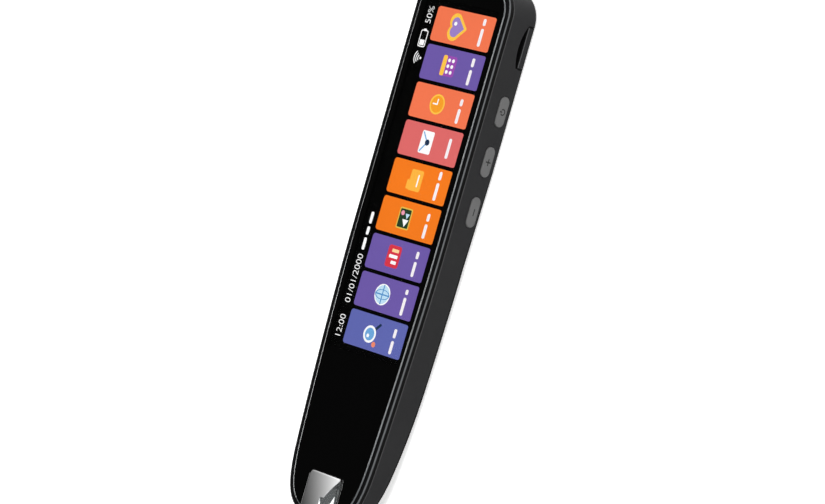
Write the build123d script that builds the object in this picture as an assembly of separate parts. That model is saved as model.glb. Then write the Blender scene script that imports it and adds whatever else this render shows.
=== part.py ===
from build123d import *
import math
import os

# Scanning pen that lies on its back: +Z is the way the glass faces, +Y runs from the scanning tip to the
# top end, and +X is the side with the buttons. The origin is under the middle of the pen, on the plane
# that it rests on.

# Overall sizes, in millimetres
body_length = 151.0
body_width = 35.3
body_thickness = 11.4
nose_reach = 1.2
top_corner_radius = 8.8
taper_length = 75.7
back_flat_to_tip = 41.7
back_rise_radius = 196.0
upper_edge_radius = 1.6
grip_edge_radius = 2.8
edge_blend_length = 26.0
cut_over = 2.0

# Half width and distance from the tip on the drawn-in side, as shares of half the width and of taper_length
side_outline_shares = (
    (1.0, 1.0), (0.9745, 0.7358), (0.9337, 0.4980), (0.8765, 0.2602),
    (0.8045, 0.1308), (0.6459, 0.0515), (0.3683, 0.0092), (0.0, 0.0),
)
outline_station_shares = (0.0, 0.2, 0.4, 0.6, 0.7, 0.78, 0.84, 0.89, 0.94, 1.0)

# Housing shell
side_wall = 1.5
back_wall = 1.4
inner_edge_radius = 0.6
rim_gap = 0.12
rim_round = 0.3
boss_radius = 1.7
rib_thickness = 1.0

# Ring round the glass, the glass and the screen under it
bezel_height = 1.4
bezel_round = 0.4
glass_proud = 0.26
glass_thickness = 0.8
glass_inset = 1.61
glass_gap = 0.06
glass_round = 0.35
adhesive_thickness = 0.12
tongue_gap = 0.08
tongue_thickness = 0.58
tongue_depth = 1.7
optical_layer = 0.1
screen_width = 28.6
screen_length = 101.5
screen_from_top = 7.1
cell_thickness = 1.2
cell_step_length = 2.5
tray_thickness = 1.2
tray_wall = 0.3
screen_corner = 1.0

# Window in the glass over the scan head
window_width = 12.6
window_start = 12.8
window_corner = 1.2
window_gap = 0.08
window_gasket_width = 0.9
window_gasket_thickness = 0.4

# Buttons and their switches in the right side wall
button_length = 8.3
button_width = 3.3
button_pitch = 13.8
button_height = 4.1
power_from_top = 32.7
button_proud = 0.35
button_round = 0.25
button_gap = 0.12
button_travel = 0.3
flange_margin = 0.5
flange_thickness = 0.6
flange_gap = 0.1
nub_length = 0.15
nub_radius = 0.7
plunger_gap = 0.05
plunger_radius = 0.55
plunger_reach = 0.35
switch_length = 3.0
switch_height = 2.6
switch_depth = 1.2
switch_bore_depth = 1.05
key_flex_thickness = 0.2
key_flex_width = 3.0
key_flex_margin = 4.0
bracket_thickness = 0.4
bracket_low = 1.5
bracket_high = 6.4
bracket_margin = 6.0
slot_gap = 0.05
post_length = 2.4
post_grip = 0.8

# Lanyard slot at the top right
strap_length = 11.7
strap_from_top = 14.75
strap_depth = 4.0
strap_peak = 4.8
strap_near_height = 3.7
strap_far_height = 3.2
strap_wall = 1.4
strap_bar_width = 2.1
strap_bar_height = 2.9
strap_bar_round = 0.35
strap_bar_end_gap = 0.1
strap_pin_radius = 0.5
strap_pin_seat = 1.2
pin_gap = 0.02

# Plate behind the screen and its screws
frame_thickness = 0.8
frame_gap = 0.36
frame_side_gap = 0.25
frame_from_top = 16.1
frame_length = 88.5
frame_cut_corner = 2.0
frame_bar = 5.0
boss_x = 13.0
upper_boss_from_top = 24.7
lower_boss_from_top = 101.1
screw_radius = 0.6
screw_hole_radius = 0.8
screw_head_radius = 1.2
screw_head_height = 0.45
screw_recess = 0.35
screw_length = 3.6
screw_tip_gap = 0.3
thread_gap = 0.02
frame_lip = 0.6
frame_lip_gap = 0.1
cross_width = 0.3
cross_length = 1.3
cross_depth = 0.2

# Battery
battery_width = 25.4
battery_length = 59.0
battery_thickness = 5.2
battery_edge_radius = 1.6
battery_from_top = 33.1
battery_shift = -2.2
tape_thickness = 0.15
tape_margin = 3.0
protection_length = 3.2
protection_width = 16.0
protection_thickness = 1.2
protection_high = 4.8
lead_width = 5.0
flex_thickness = 0.12
flex_bend = 0.6
display_flex_width = 9.0
camera_flex_width = 4.0

# Main board
board_width = 22.0
board_length = 25.5
board_thickness = 0.8
board_height = 5.2
board_from_top = 97.6
board_corner = 1.0
board_screw_inset = 1.9
shield_width = 15.0
shield_length = 14.5
shield_height = 1.7
shield_wall = 0.2
shield_round = 0.5
shield_margin = 1.5
chip_size = 11.0
chip_height = 0.9
memory_width = 11.5
memory_length = 8.0
connector_width = 5.0
connector_length = 2.2
connector_height = 0.9
connector_pitch = 7.0
connector_from_edge = 5.0
antenna_length = 24.0
antenna_width = 4.0
antenna_low = 2.4
antenna_thickness = 0.15

# Socket board at the top end
socket_height = 5.6
socket_width = 8.94
socket_thickness = 3.2
socket_length = 7.3
socket_wall = 0.3
socket_recess = 0.8
socket_gap = 0.15
tongue_plate = 0.7
tongue_plate_width = 6.7
tongue_plate_length = 5.2
usb_board_width = 22.0
usb_board_length = 12.5
usb_board_thickness = 0.8
usb_board_end_gap = 3.1
usb_boss_x = 8.5
usb_rail_half = 6.0
usb_screw_length = 2.4
microphone_x = 7.6
microphone_width = 2.0
microphone_length = 2.8
microphone_height = 1.0
microphone_hole_radius = 0.45

# Speaker behind the holes in the back
speaker_width = 20.0
speaker_length = 12.4
speaker_height = 4.2
speaker_corner = 2.5
speaker_shift = -1.0
speaker_from_top = 17.8
gasket_width = 0.9
gasket_thickness = 0.3
mesh_thickness = 0.15
cone_depth = 0.6
cone_gap = 0.2
sound_hole_radius = 0.7
sound_hole_pitch = 2.1
sound_hole_count = 5

# Scan head in the tip
camera_height = 6.9
camera_board_width = 13.0
camera_board_height = 6.6
camera_board_thickness = 0.6
camera_from_tip = 26.6
holder_size = 6.4
holder_length = 4.4
holder_round = 0.6
barrel_radius = 2.2
barrel_gap = 0.05
barrel_length = 6.4
barrel_front = 17.5
lens_radius = 1.6
lens_thickness = 1.0
lens_curve = 2.6
lens_recess = 0.3
barrel_aperture = 1.2
sensor_size = 3.0
sensor_thickness = 0.6
led_board_thickness = 0.6
led_board_from_tip = 17.2
led_board_left = 10.6
led_board_right = 12.6
led_board_below = 2.3
led_board_top = 9.9
led_post_top = 8.0
led_hole_radius = 2.5
led_x = 5.4
led_row_half = 1.4
led_width = 1.6
led_height = 0.8
led_depth = 0.7
chamber_wall = 0.6
chamber_back_width = 14.2
chamber_back_half = 2.8
chamber_front_width = 13.6
chamber_front_low = 6.0
chamber_front_high = 9.3
chamber_length = 9.2
chamber_gap = 0.1
chamber_window_margin = 0.6

# Moving nose at the tip
nose_width = 14.4
nose_low = 5.9
nose_high = 9.5
nose_wall = 0.8
nose_round = 0.5
nose_travel = 0.5
mouth_gap = 0.2
nose_body_length = 5.2
shoulder_reach = 1.4
shoulder_length = 0.8
shoulder_from_tip = 3.75
arm_thickness = 1.0
arm_low = 6.4
arm_high = 8.4
arm_end_from_tip = 14.1
tab_reach = 3.0
tab_length = 0.8
spring_radius = 0.55
spring_wire = 0.15
spring_turns = 3
spring_wire_sides = 4
tip_switch_width = 2.2
tip_switch_height = 2.2
tip_switch_depth = 1.6
tip_switch_x = 10.6
tip_plunger_radius = 0.5
tip_plunger_reach = 0.85

# Levels and places that follow from the sizes above
half_width = body_width / 2
total_length = body_length + nose_reach
top_y = total_length / 2
tip_y = top_y - body_length
straight_end_y = tip_y + taper_length
back_bend_y = tip_y + back_flat_to_tip
edge_blend_y = straight_end_y + edge_blend_length
inner_x = half_width - side_wall
front_z = body_thickness
bezel_low = front_z - bezel_height
housing_high = bezel_low - rim_gap
glass_high = front_z + glass_proud
glass_low = glass_high - glass_thickness
ledge_high = glass_low - adhesive_thickness
tongue_inset = side_wall + tongue_gap
ledge_inset = tongue_inset + tongue_thickness
cell_high = glass_low - optical_layer
cell_low = cell_high - cell_thickness
tray_low = cell_low - tray_thickness
frame_high = tray_low - frame_gap
frame_low = frame_high - frame_thickness
frame_top_y = top_y - frame_from_top
frame_end_y = frame_top_y - frame_length
screen_top_y = top_y - screen_from_top
screen_end_y = screen_top_y - screen_length
window_top_y = tip_y + window_start
button_ys = tuple(top_y - power_from_top - i * button_pitch for i in range(3))
strap_y = top_y - strap_from_top
battery_top_y = top_y - battery_from_top
battery_end_y = battery_top_y - battery_length
board_top_y = top_y - board_from_top
board_end_y = board_top_y - board_length
board_high = board_height + board_thickness
led_board_y = tip_y + led_board_from_tip
led_board_bottom = camera_height - led_board_below
shoulder_half = nose_width / 2 + shoulder_reach
arm_end_y = tip_y + arm_end_from_tip
camera_board_y = tip_y + camera_from_tip
connector_y = board_top_y - connector_from_edge
connector_top = board_high + connector_height + flex_thickness / 2
usb_board_high = socket_height - socket_thickness / 2
usb_board_low = usb_board_high - usb_board_thickness
speaker_y = top_y - speaker_from_top - speaker_length / 2
bracket_from_wall = flange_gap + flange_thickness + nub_length + plunger_gap + plunger_reach
bracket_from_wall += switch_depth + key_flex_thickness
half_turn_share = 0.5


def block(low, high):
    """Box between two corners."""
    size = [b - a for a, b in zip(low, high)]
    centre = [(a + b) / 2 for a, b in zip(low, high)]
    return Pos(*centre) * Box(*size)


def plate(width, length, low, high, corner, x=0, y=0):
    """Flat plate with rounded corners, between two heights, centred at x and y."""
    face = Pos(x, y, low) * RectangleRounded(width, length, corner)
    return extrude(face, amount=high - low)


def rod(radius, start, end):
    """Round rod between two points."""
    path = Line(start, end)
    return extrude(Plane(start, z_dir=path % 0) * Circle(radius), amount=path.length)


def outline_half(inset):
    """Right half of the front outline, drawn in by inset, from the top middle round to the tip middle."""
    side_points = [
        (half_width * x_share, tip_y + taper_length * y_share)
        for x_share, y_share in side_outline_shares
    ]
    side = Spline(*side_points, tangents=[(0, -1), (-1, 0)])
    if inset:
        points = []
        for share in outline_station_shares:
            point, along = side @ share, side % share
            points.append((point.X + inset * along.Y, point.Y - inset * along.X))
        side = Spline(*points, tangents=[(0, -1), (-1, 0)])
    wall_x = half_width - inset
    end_y = top_y - inset
    corner = top_corner_radius - inset
    top_line = Line((0, end_y), (wall_x - corner, end_y))
    corner_arc = CenterArc((wall_x - corner, end_y - corner), corner, 90, -90)
    wall_line = Line((wall_x, end_y - corner), (wall_x, straight_end_y))
    return Curve() + [top_line, corner_arc, wall_line, side]


def outline(inset, low, high):
    """Upright solid on the front outline, drawn in by inset, between two heights."""
    half = outline_half(inset)
    face = make_face(half + mirror(half, Plane.YZ))
    return extrude(Pos(0, 0, low) * face, amount=high - low)


def over_back(inset, high):
    """Everything above the back face, seen from the side, with the back drawn in by inset."""
    radius = back_rise_radius - inset
    centre_z = back_rise_radius
    sweep_angle = math.degrees(math.asin((back_flat_to_tip + cut_over) / radius))
    rise = CenterArc((back_bend_y, centre_z), radius, 270, -sweep_angle)
    tip_point = rise @ 1
    top_end = top_y + cut_over
    side = Curve() + [
        rise,
        Line((back_bend_y, inset), (top_end, inset)),
        Line((top_end, inset), (top_end, high)),
        Line((top_end, high), (tip_point.X, high)),
        Line((tip_point.X, high), (tip_point.X, tip_point.Y)),
    ]
    face = Plane.YZ * make_face(side)
    return extrude(face, amount=body_width, both=True)


def back_height(y):
    """Height of the outer back face at a place along the pen."""
    run = max(back_bend_y - y, 0)
    return back_rise_radius - math.sqrt(back_rise_radius ** 2 - run ** 2)


def rounded_under(solid, radius):
    """The solid with its lower edge rounded where the walls meet the back, but not across its cut ends."""
    under = [f for f in solid.faces() if f.normal_at().Z < 0 and f.normal_at().Z ** 2 > half_turn_share]
    chosen = []
    for edge in (e for f in under for e in f.edges()):
        crosswise = edge.bounding_box().size.Y < cut_over
        if not crosswise or edge.center().Y > edge_blend_y + cut_over:
            chosen.append(edge)
    return fillet(chosen, radius)


def blend_section(y, radius):
    """Cross section of the straight part of the housing, with its two lower corners rounded."""
    face = Rectangle(body_width, housing_high)
    face = fillet(face.vertices().group_by(Axis.Y)[0], radius)
    return on_end(face, 0, y, housing_high / 2)


def outer_form():
    """Solid form of the housing: its back edge is tight on the upper body and grows rounder to the grip."""
    sharp = outline(0, -cut_over, housing_high) & over_back(0, housing_high)
    upper = sharp & block((-body_width, edge_blend_y, -cut_over), (body_width, top_y + cut_over, front_z))
    grip = sharp & block((-body_width, tip_y - cut_over, -cut_over), (body_width, straight_end_y, front_z))
    middle = loft(
        [blend_section(straight_end_y, grip_edge_radius), blend_section(edge_blend_y, upper_edge_radius)],
        ruled=True,
    )
    form = rounded_under(upper, upper_edge_radius) + middle + rounded_under(grip, grip_edge_radius)
    rim = form.faces().sort_by(Axis.Z)[-1].edges()
    return fillet(rim, rim_round)


def hollow_form():
    """Solid form of the space inside the housing."""
    form = outline(side_wall, -cut_over, front_z) & over_back(back_wall, front_z)
    return rounded_under(form, inner_edge_radius)


def on_side(face, x, y, z):
    """Sketch set upright on a plane that faces +X, its length along the pen."""
    return Plane((x, y, z), x_dir=(0, 1, 0), z_dir=(1, 0, 0)) * face


def on_end(face, x, y, z):
    """Sketch set upright on a plane that faces +Y."""
    return Plane((x, y, z), x_dir=(-1, 0, 0), z_dir=(0, 1, 0)) * face


def pill(grow, x, y, length):
    """Rounded bar of a button's outline, grown all round, that runs towards +X."""
    face = SlotOverall(button_length + 2 * grow, button_width + 2 * grow)
    return extrude(on_side(face, x, y, button_height), amount=length)


def frame_boss_places():
    """Centres of the four bosses under the frame."""
    rows = (top_y - upper_boss_from_top, top_y - lower_boss_from_top)
    return [(side * boss_x, y) for y in rows for side in (-1, 1)]


def board_boss_places():
    """Centres of the four bosses under the main board."""
    x = board_width / 2 - board_screw_inset
    rows = (board_top_y - board_screw_inset, board_end_y + board_screw_inset)
    return [(side * x, y) for y in rows for side in (-1, 1)]


def usb_boss_places():
    """Centres of the two bosses under the socket board."""
    y = top_y - usb_board_end_gap - usb_board_length + board_screw_inset
    return [(side * usb_boss_x, y) for side in (-1, 1)]


def bosses():
    """Screw bosses that stand on the housing floor."""
    levels = [(frame_boss_places(), frame_low), (board_boss_places(), board_height)]
    levels.append((usb_boss_places(), usb_board_low))
    return [rod(boss_radius, (x, y, 0), (x, y, high)) for places, high in levels for x, y in places]


def boss_bores():
    """Holes for the screws in the bosses."""
    levels = [(frame_boss_places(), frame_low), (board_boss_places(), board_height)]
    levels.append((usb_boss_places(), usb_board_low))
    bores = []
    for places, high in levels:
        for x, y in places:
            low = max(back_height(y) + back_wall, high - screw_length)
            bores.append(rod(screw_radius + thread_gap, (x, y, low), (x, y, high + cut_over)))
    return bores


def strap_block():
    """Thick wall round the lanyard slot, inside the housing."""
    half = strap_length / 2 + strap_wall
    low_x = half_width - strap_depth - strap_wall
    return block((low_x, strap_y - half, 0), (half_width, strap_y + half, strap_peak + strap_wall))


def strap_slot():
    """Arched slot that runs from the side wall round to the back."""
    near, far = strap_y - strap_length / 2, strap_y + strap_length / 2
    arch = Curve() + [
        ThreePointArc((near, strap_near_height), (strap_y, strap_peak), (far, strap_far_height)),
        Line((far, strap_far_height), (far, -cut_over)),
        Line((far, -cut_over), (near, -cut_over)),
        Line((near, -cut_over), (near, strap_near_height)),
    ]
    face = Plane.YZ.offset(half_width - strap_depth) * make_face(arch)
    return extrude(face, amount=strap_depth + cut_over)


def strap_pin(seat, radius):
    """Round pin along the strap bar, with its ends in the slot's end walls."""
    x, z = half_width - strap_bar_width / 2, strap_bar_height / 2
    half = strap_length / 2 + seat
    return rod(radius, (x, strap_y - half, z), (x, strap_y + half, z))


def strap_bar():
    """Bar that closes the corner of the housing across the lanyard slot, with a pin at each end."""
    half = strap_length / 2 - strap_bar_end_gap
    low_x = half_width - strap_bar_width
    bar = block((low_x, strap_y - half, 0), (half_width, strap_y + half, strap_bar_height))
    corner = bar.edges().filter_by(Axis.Y).group_by(Axis.X)[-1].sort_by(Axis.Z)[0]
    bar = fillet(corner, upper_edge_radius)
    others = bar.edges().filter_by(Axis.Y).filter_by(lambda e: e.center().Z > upper_edge_radius)
    bar = fillet(others, strap_bar_round)
    return bar + strap_pin(strap_pin_seat - plunger_gap, strap_pin_radius)


def slot_posts(board_x, board_y, board_thick, low, high, x_side):
    """Post with a groove that holds the end of an upright board."""
    half_post = post_length / 2
    near, far = board_x - post_grip, board_x + post_grip
    post = block((near, board_y - half_post, low), (far, board_y + half_post, high))
    half_slot = board_thick / 2 + slot_gap
    near, far = sorted((board_x - x_side * 2 * post_grip, board_x + x_side * slot_gap))
    groove = block((near, board_y - half_slot, low), (far, board_y + half_slot, high + cut_over))
    return post, groove


def head_posts():
    """Posts and grooves that hold the camera board and the light board."""
    camera_mid = camera_board_y - camera_board_thickness / 2
    led_mid = led_board_y - led_board_thickness / 2
    camera_end = camera_board_width / 2
    camera_low = camera_height - camera_board_height / 2
    made = [
        slot_posts(-camera_end, camera_mid, camera_board_thickness, camera_low, camera_height, -1),
        slot_posts(camera_end, camera_mid, camera_board_thickness, camera_low, camera_height, 1),
        slot_posts(-led_board_left, led_mid, led_board_thickness, led_board_bottom, led_post_top, -1),
        slot_posts(led_board_right, led_mid, led_board_thickness, led_board_bottom, led_post_top, 1),
    ]
    posts, grooves = [], []
    for post, groove in made:
        box = post.bounding_box()
        foot = block((box.min.X, box.min.Y, 0), (box.max.X, box.max.Y, box.min.Z))
        posts.append(post + foot)
        grooves.append(groove)
    return posts, grooves


def key_posts():
    """Two posts on the right wall with the groove for the key bracket and its flex."""
    bracket_x = inner_x - bracket_from_wall
    ends = (button_ys[-1] - bracket_margin, button_ys[0] + bracket_margin)
    outward = (-1, 1)
    posts = []
    for end, side in zip(ends, outward):
        inner, outer = end - side * post_grip, end + side * (post_length - post_grip)
        low_x = bracket_x - bracket_thickness - post_grip
        posts.append(block((low_x, min(inner, outer), 0), (half_width, max(inner, outer), bracket_high)))
    slot_low = bracket_x - bracket_thickness - slot_gap
    slot_high = bracket_x + key_flex_thickness + slot_gap
    flex_end = ends[0] - post_length
    groove = block(
        (slot_low, flex_end, back_wall), (slot_high, ends[1] + slot_gap, bracket_high + cut_over)
    )
    return posts, groove


def mouth():
    """Opening in the tip for the nose, open up to the rim."""
    half = nose_width / 2 + mouth_gap
    return block(
        (-half, tip_y - cut_over, nose_low - mouth_gap),
        (half, tip_y + shoulder_from_tip, housing_high + cut_over),
    )


def sound_hole_places():
    """Centres of the holes in front of the speaker."""
    first_x = speaker_shift - (sound_hole_count - 1) / 2 * sound_hole_pitch
    return [(first_x + i * sound_hole_pitch, speaker_y) for i in range(sound_hole_count)]


def socket_form(grow, near, far):
    """Rounded bar of the socket's outline along the pen, grown all round."""
    face = SlotOverall(socket_width + 2 * grow, socket_thickness + 2 * grow)
    return extrude(on_end(face, 0, near, socket_height), amount=far - near)


def rear_housing():
    """Moulded shell: walls, back, bosses, posts, slot, openings for buttons, socket, sound and nose."""
    outside, hollow = outer_form(), hollow_form()
    head, grooves = head_posts()
    key_holders, key_groove = key_posts()
    rail = block(
        (-usb_rail_half, top_y - usb_board_end_gap - rib_thickness, 0),
        (usb_rail_half, top_y - usb_board_end_gap + rib_thickness, usb_board_low),
    )
    inner = Part() + [*bosses(), strap_block(), *head, *key_holders, rail]
    body = (outside - hollow) + (inner & outside)
    cuts = [*boss_bores(), strap_slot(), strap_pin(strap_pin_seat, strap_pin_radius + pin_gap)]
    cuts += [*grooves, key_groove, mouth()]
    cuts += [pill(button_gap, inner_x - cut_over, y, side_wall + 2 * cut_over) for y in button_ys]
    for x, y in sound_hole_places():
        cuts.append(rod(sound_hole_radius, (x, y, -cut_over), (x, y, back_wall + cut_over)))
    cuts.append(socket_form(socket_gap, top_y - side_wall - socket_gap, top_y + cut_over))
    cuts.append(rod(
        microphone_hole_radius,
        (microphone_x, top_y - side_wall - socket_gap, socket_height),
        (microphone_x, top_y + cut_over, socket_height),
    ))
    for cut in cuts:
        body -= cut
    return body


def front_bezel():
    """Glossy ring with a ledge under the glass and a tongue that stands inside the housing wall."""
    ring = outline(0, bezel_low, front_z)
    ring = fillet(ring.faces().sort_by(Axis.Z)[-1].edges(), bezel_round)
    ring += outline(tongue_inset, bezel_low - tongue_depth, bezel_low + adhesive_thickness)
    ring -= outline(glass_inset - glass_gap, ledge_high, front_z + cut_over)
    ring -= outline(ledge_inset, bezel_low - tongue_depth - cut_over, front_z + cut_over)
    notch_half = shoulder_half + mouth_gap + tongue_thickness
    return ring - block(
        (-notch_half, tip_y - cut_over, bezel_low - tongue_depth - cut_over),
        (notch_half, tip_y + shoulder_from_tip + post_length, bezel_low),
    )


def window_blank(grow, low, high):
    """Window outline, grown all round and run out past the tip."""
    start, end = window_top_y + grow, tip_y - 2 * cut_over
    return plate(
        window_width + 2 * grow, start - end, low, high, window_corner + grow, 0, (start + end) / 2
    )


def top_rounded(solid, radius):
    """The solid with the edges of its top face rounded."""
    return fillet(solid.faces().sort_by(Axis.Z)[-1].edges(), radius)


def cover_glass():
    """Glass plate with a notch for the window."""
    glass = outline(glass_inset, glass_low, glass_high)
    glass -= window_blank(window_gap, front_z - cut_over, glass_high + cut_over)
    return top_rounded(glass, glass_round)


def tip_window():
    """Clear window that fills the notch in the glass."""
    glass = top_rounded(outline(glass_inset, glass_low, glass_high), glass_round)
    return glass & window_blank(0, glass_low, glass_high)


def glass_adhesive():
    """Tape ring between the glass and the ledge."""
    ring = outline(glass_inset, ledge_high, glass_low)
    return ring - outline(ledge_inset, ledge_high - cut_over, glass_low + cut_over)


def window_gasket():
    """Foam frame under the edge of the window."""
    low, half = glass_low - window_gasket_thickness, window_gasket_width / 2
    frame = window_blank(half, low, glass_low) - window_blank(-half, low - cut_over, glass_low + cut_over)
    return frame & outline(ledge_inset + tongue_gap, low, glass_low)


def screen_plate(low, high, shrink, end_y):
    """Plate of the screen's outline between two heights, drawn in by shrink, down to end_y."""
    length = screen_top_y - end_y - 2 * shrink
    return plate(screen_width - 2 * shrink, length, low, high, screen_corner, 0, (screen_top_y + end_y) / 2)


def display_panel():
    """Screen cell: the back glass is longer than the front one and carries the flex."""
    step = cell_low + cell_thickness / 2
    back = screen_plate(cell_low, step, 0, screen_end_y)
    return back + screen_plate(step, cell_high, 0, screen_end_y + cell_step_length)


def backlight_tray():
    """Folded metal tray behind the screen cell."""
    tray = screen_plate(tray_low, cell_low, 0, screen_end_y)
    return tray - screen_plate(tray_low + tray_wall, cell_low + cut_over, tray_wall, screen_end_y)


def light_guide():
    """Clear plate in the tray that spreads the back light."""
    return screen_plate(tray_low + tray_wall, cell_low, tray_wall + slot_gap, screen_end_y)


def strip(points, radius, width, x):
    """Flex strip of one width that follows a path seen from the side, with rounded bends."""
    path = FilletPolyline(*points, radius=radius)
    face = Plane.YZ.offset(x - width / 2) * trace(path, line_width=flex_thickness)
    return extrude(face, amount=width)


def display_flex():
    """Flex from the end of the screen cell round to the middle connector."""
    step_top = cell_low + (cell_thickness + flex_thickness) / 2
    over_shield = board_high + shield_height + (tray_low - board_high - shield_height) / 2
    bend_y = screen_end_y - 2 * flex_bend
    shield_top_y = board_end_y + shield_margin + shield_length
    points = [
        (screen_end_y + cell_step_length - flex_thickness, step_top),
        (bend_y, step_top),
        (bend_y, over_shield),
        (shield_top_y + flex_bend, over_shield),
        (shield_top_y + 4 * flex_bend, connector_top),
        (connector_y, connector_top),
    ]
    return strip(points, flex_bend / 2, display_flex_width, 0)


def battery_flex():
    """Flex from the battery's protection board to the left connector."""
    x = -connector_pitch
    high = protection_high + flex_thickness / 2
    turn_y = (battery_end_y - protection_length + board_top_y) / 2
    points = [
        (battery_end_y - protection_length / 2, high), (turn_y, high), (turn_y, connector_top),
        (connector_y, connector_top),
    ]
    return strip(points, flex_bend / 2, lead_width, x)


def camera_flex():
    """Flex from the back of the camera board to the end of the main board."""
    start_y = camera_board_y + flex_thickness / 2
    board_top = board_high + flex_thickness / 2
    middle_y = (camera_board_y + board_end_y) / 2
    points = [(start_y, camera_height), (middle_y, camera_height), (middle_y, board_top)]
    points.append((board_end_y + shield_margin - flex_thickness, board_top))
    return strip(points, flex_bend / 4, camera_flex_width, 0)


def mid_frame():
    """Plate that carries the screen, with lips beside the tray and openings over the battery."""
    body = outline(side_wall + frame_side_gap, frame_low, frame_high)
    body &= block((-half_width, frame_end_y, frame_low), (half_width, frame_top_y, frame_high))
    opening_length = (battery_length - 3 * frame_bar) / 2
    opening_width = battery_width - 2 * frame_bar
    for i in range(2):
        y = battery_top_y - frame_bar - opening_length / 2 - i * (opening_length + frame_bar)
        body -= plate(opening_width, opening_length, frame_low - cut_over, frame_high + cut_over,
                      frame_cut_corner, battery_shift, y)
    lip_x = screen_width / 2 + frame_lip_gap
    for side in (-1, 1):
        for y in (battery_top_y - frame_bar, battery_end_y + frame_bar):
            near, far = sorted((side * lip_x, side * (lip_x + frame_lip)))
            body += block((near, y - frame_bar, frame_high - frame_lip), (far, y + frame_bar, cell_low))
    for x, y in frame_boss_places():
        above = (x, y, frame_high + cut_over)
        body -= rod(screw_hole_radius, (x, y, frame_low - cut_over), above)
        body -= rod(screw_head_radius + frame_lip_gap, (x, y, frame_high - screw_recess), above)
    return body


def screw(x, y, seat, length):
    """Cross-head screw with its head on a seat."""
    body = rod(screw_radius, (x, y, seat - length + screw_tip_gap), (x, y, seat))
    body += rod(screw_head_radius, (x, y, seat), (x, y, seat + screw_head_height))
    top = seat + screw_head_height
    for long_x, long_y in ((cross_length, cross_width), (cross_width, cross_length)):
        body -= block(
            (x - long_x / 2, y - long_y / 2, top - cross_depth),
            (x + long_x / 2, y + long_y / 2, top + cut_over),
        )
    return body


def screws(places, seat, length):
    """Group of like screws, each a solid of its own."""
    return Compound(children=[screw(x, y, seat, length) for x, y in places])


def battery():
    """Pouch cell with rounded long edges and a flat sealed end."""
    low = back_wall + tape_thickness
    centre = low + battery_thickness / 2
    face = RectangleRounded(battery_width, battery_thickness, battery_edge_radius)
    return extrude(on_end(face, battery_shift, battery_end_y, centre), amount=battery_length)


def battery_tape():
    """Tape under the battery."""
    half = battery_width / 2 - tape_margin
    return block(
        (battery_shift - half, battery_end_y + tape_margin, back_wall),
        (battery_shift + half, battery_top_y - tape_margin, back_wall + tape_thickness),
    )


def protection_board():
    """Small circuit board on the battery's sealed end."""
    half = protection_width / 2
    return block(
        (battery_shift - half, battery_end_y - protection_length, protection_high - protection_thickness),
        (battery_shift + half, battery_end_y, protection_high),
    )


def main_board():
    """Main circuit board with its four screw holes."""
    middle_y = (board_top_y + board_end_y) / 2
    body = plate(board_width, board_length, board_height, board_high, board_corner, 0, middle_y)
    for x, y in board_boss_places():
        body -= rod(screw_hole_radius, (x, y, board_height - cut_over), (x, y, board_high + cut_over))
    return body


def shield_can():
    """Drawn metal cover over the processor."""
    y = board_end_y + shield_margin + shield_length / 2
    can = plate(shield_width, shield_length, board_high, board_high + shield_height, shield_round, 0, y)
    can = chamfer(can.faces().sort_by(Axis.Z)[-1].edges(), shield_round / 2)
    return can - plate(
        shield_width - 2 * shield_wall, shield_length - 2 * shield_wall, board_high - cut_over,
        board_high + shield_height - shield_wall, shield_round - shield_wall, 0, y,
    )


def processor():
    """Square chip under the shield."""
    y = board_end_y + shield_margin + shield_length / 2
    half = chip_size / 2
    return block((-half, y - half, board_high), (half, y + half, board_high + chip_height))


def memory_chip():
    """Memory chip on the underside of the main board."""
    y = (board_top_y + board_end_y) / 2
    return block(
        (-memory_width / 2, y - memory_length / 2, board_height - chip_height),
        (memory_width / 2, y + memory_length / 2, board_height),
    )


def board_connectors():
    """Three flex connectors in a row on the main board."""
    made = []
    for i in (-1, 0, 1):
        x = i * connector_pitch
        made.append(block(
            (x - connector_width / 2, connector_y - connector_length / 2, board_high),
            (x + connector_width / 2, connector_y + connector_length / 2, board_high + connector_height),
        ))
    return Compound(children=made)


def wifi_antenna():
    """Antenna strip on the inside of the left wall."""
    near_y = straight_end_y + rib_thickness
    return block(
        (-inner_x, near_y, antenna_low),
        (-inner_x + antenna_thickness, near_y + antenna_length, antenna_low + antenna_width),
    )


def usb_board():
    """Socket board at the top end."""
    y = top_y - usb_board_end_gap - usb_board_length / 2
    body = plate(usb_board_width, usb_board_length, usb_board_low, usb_board_high, board_corner, 0, y)
    for x, hole_y in usb_boss_places():
        start, end = (x, hole_y, usb_board_low - cut_over), (x, hole_y, usb_board_high + cut_over)
        body -= rod(screw_hole_radius, start, end)
    return body


def usb_shell():
    """Folded steel shell of the charging socket, closed at its inner end."""
    far = top_y - socket_recess
    near = far - socket_length
    return socket_form(0, near, far) - socket_form(-socket_wall, near + socket_wall, far + cut_over)


def usb_tongue():
    """Contact tongue in the middle of the socket."""
    near = top_y - socket_recess - socket_length + socket_wall
    half = tongue_plate_width / 2
    return block(
        (-half, near, socket_height - tongue_plate / 2),
        (half, near + tongue_plate_length, socket_height + tongue_plate / 2),
    )


def microphone():
    """Microphone can on the socket board, behind its hole."""
    far = top_y - usb_board_end_gap - slot_gap
    return block(
        (microphone_x - microphone_width / 2, far - microphone_length, usb_board_high),
        (microphone_x + microphone_width / 2, far, usb_board_high + microphone_height),
    )


def speaker_plate(shrink, low, high):
    """Rounded plate of the speaker's outline, drawn in by shrink."""
    corner = max(speaker_corner - shrink, gasket_thickness)
    return plate(
        speaker_width - 2 * shrink, speaker_length - 2 * shrink, low, high, corner, speaker_shift, speaker_y
    )


def speaker_frame():
    """Speaker body with the recess of its cone facing the back."""
    low = back_wall + gasket_thickness
    body = speaker_plate(0, low, low + speaker_height)
    return body - speaker_plate(gasket_width + cone_gap, low - cut_over, low + 2 * cone_depth)


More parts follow.
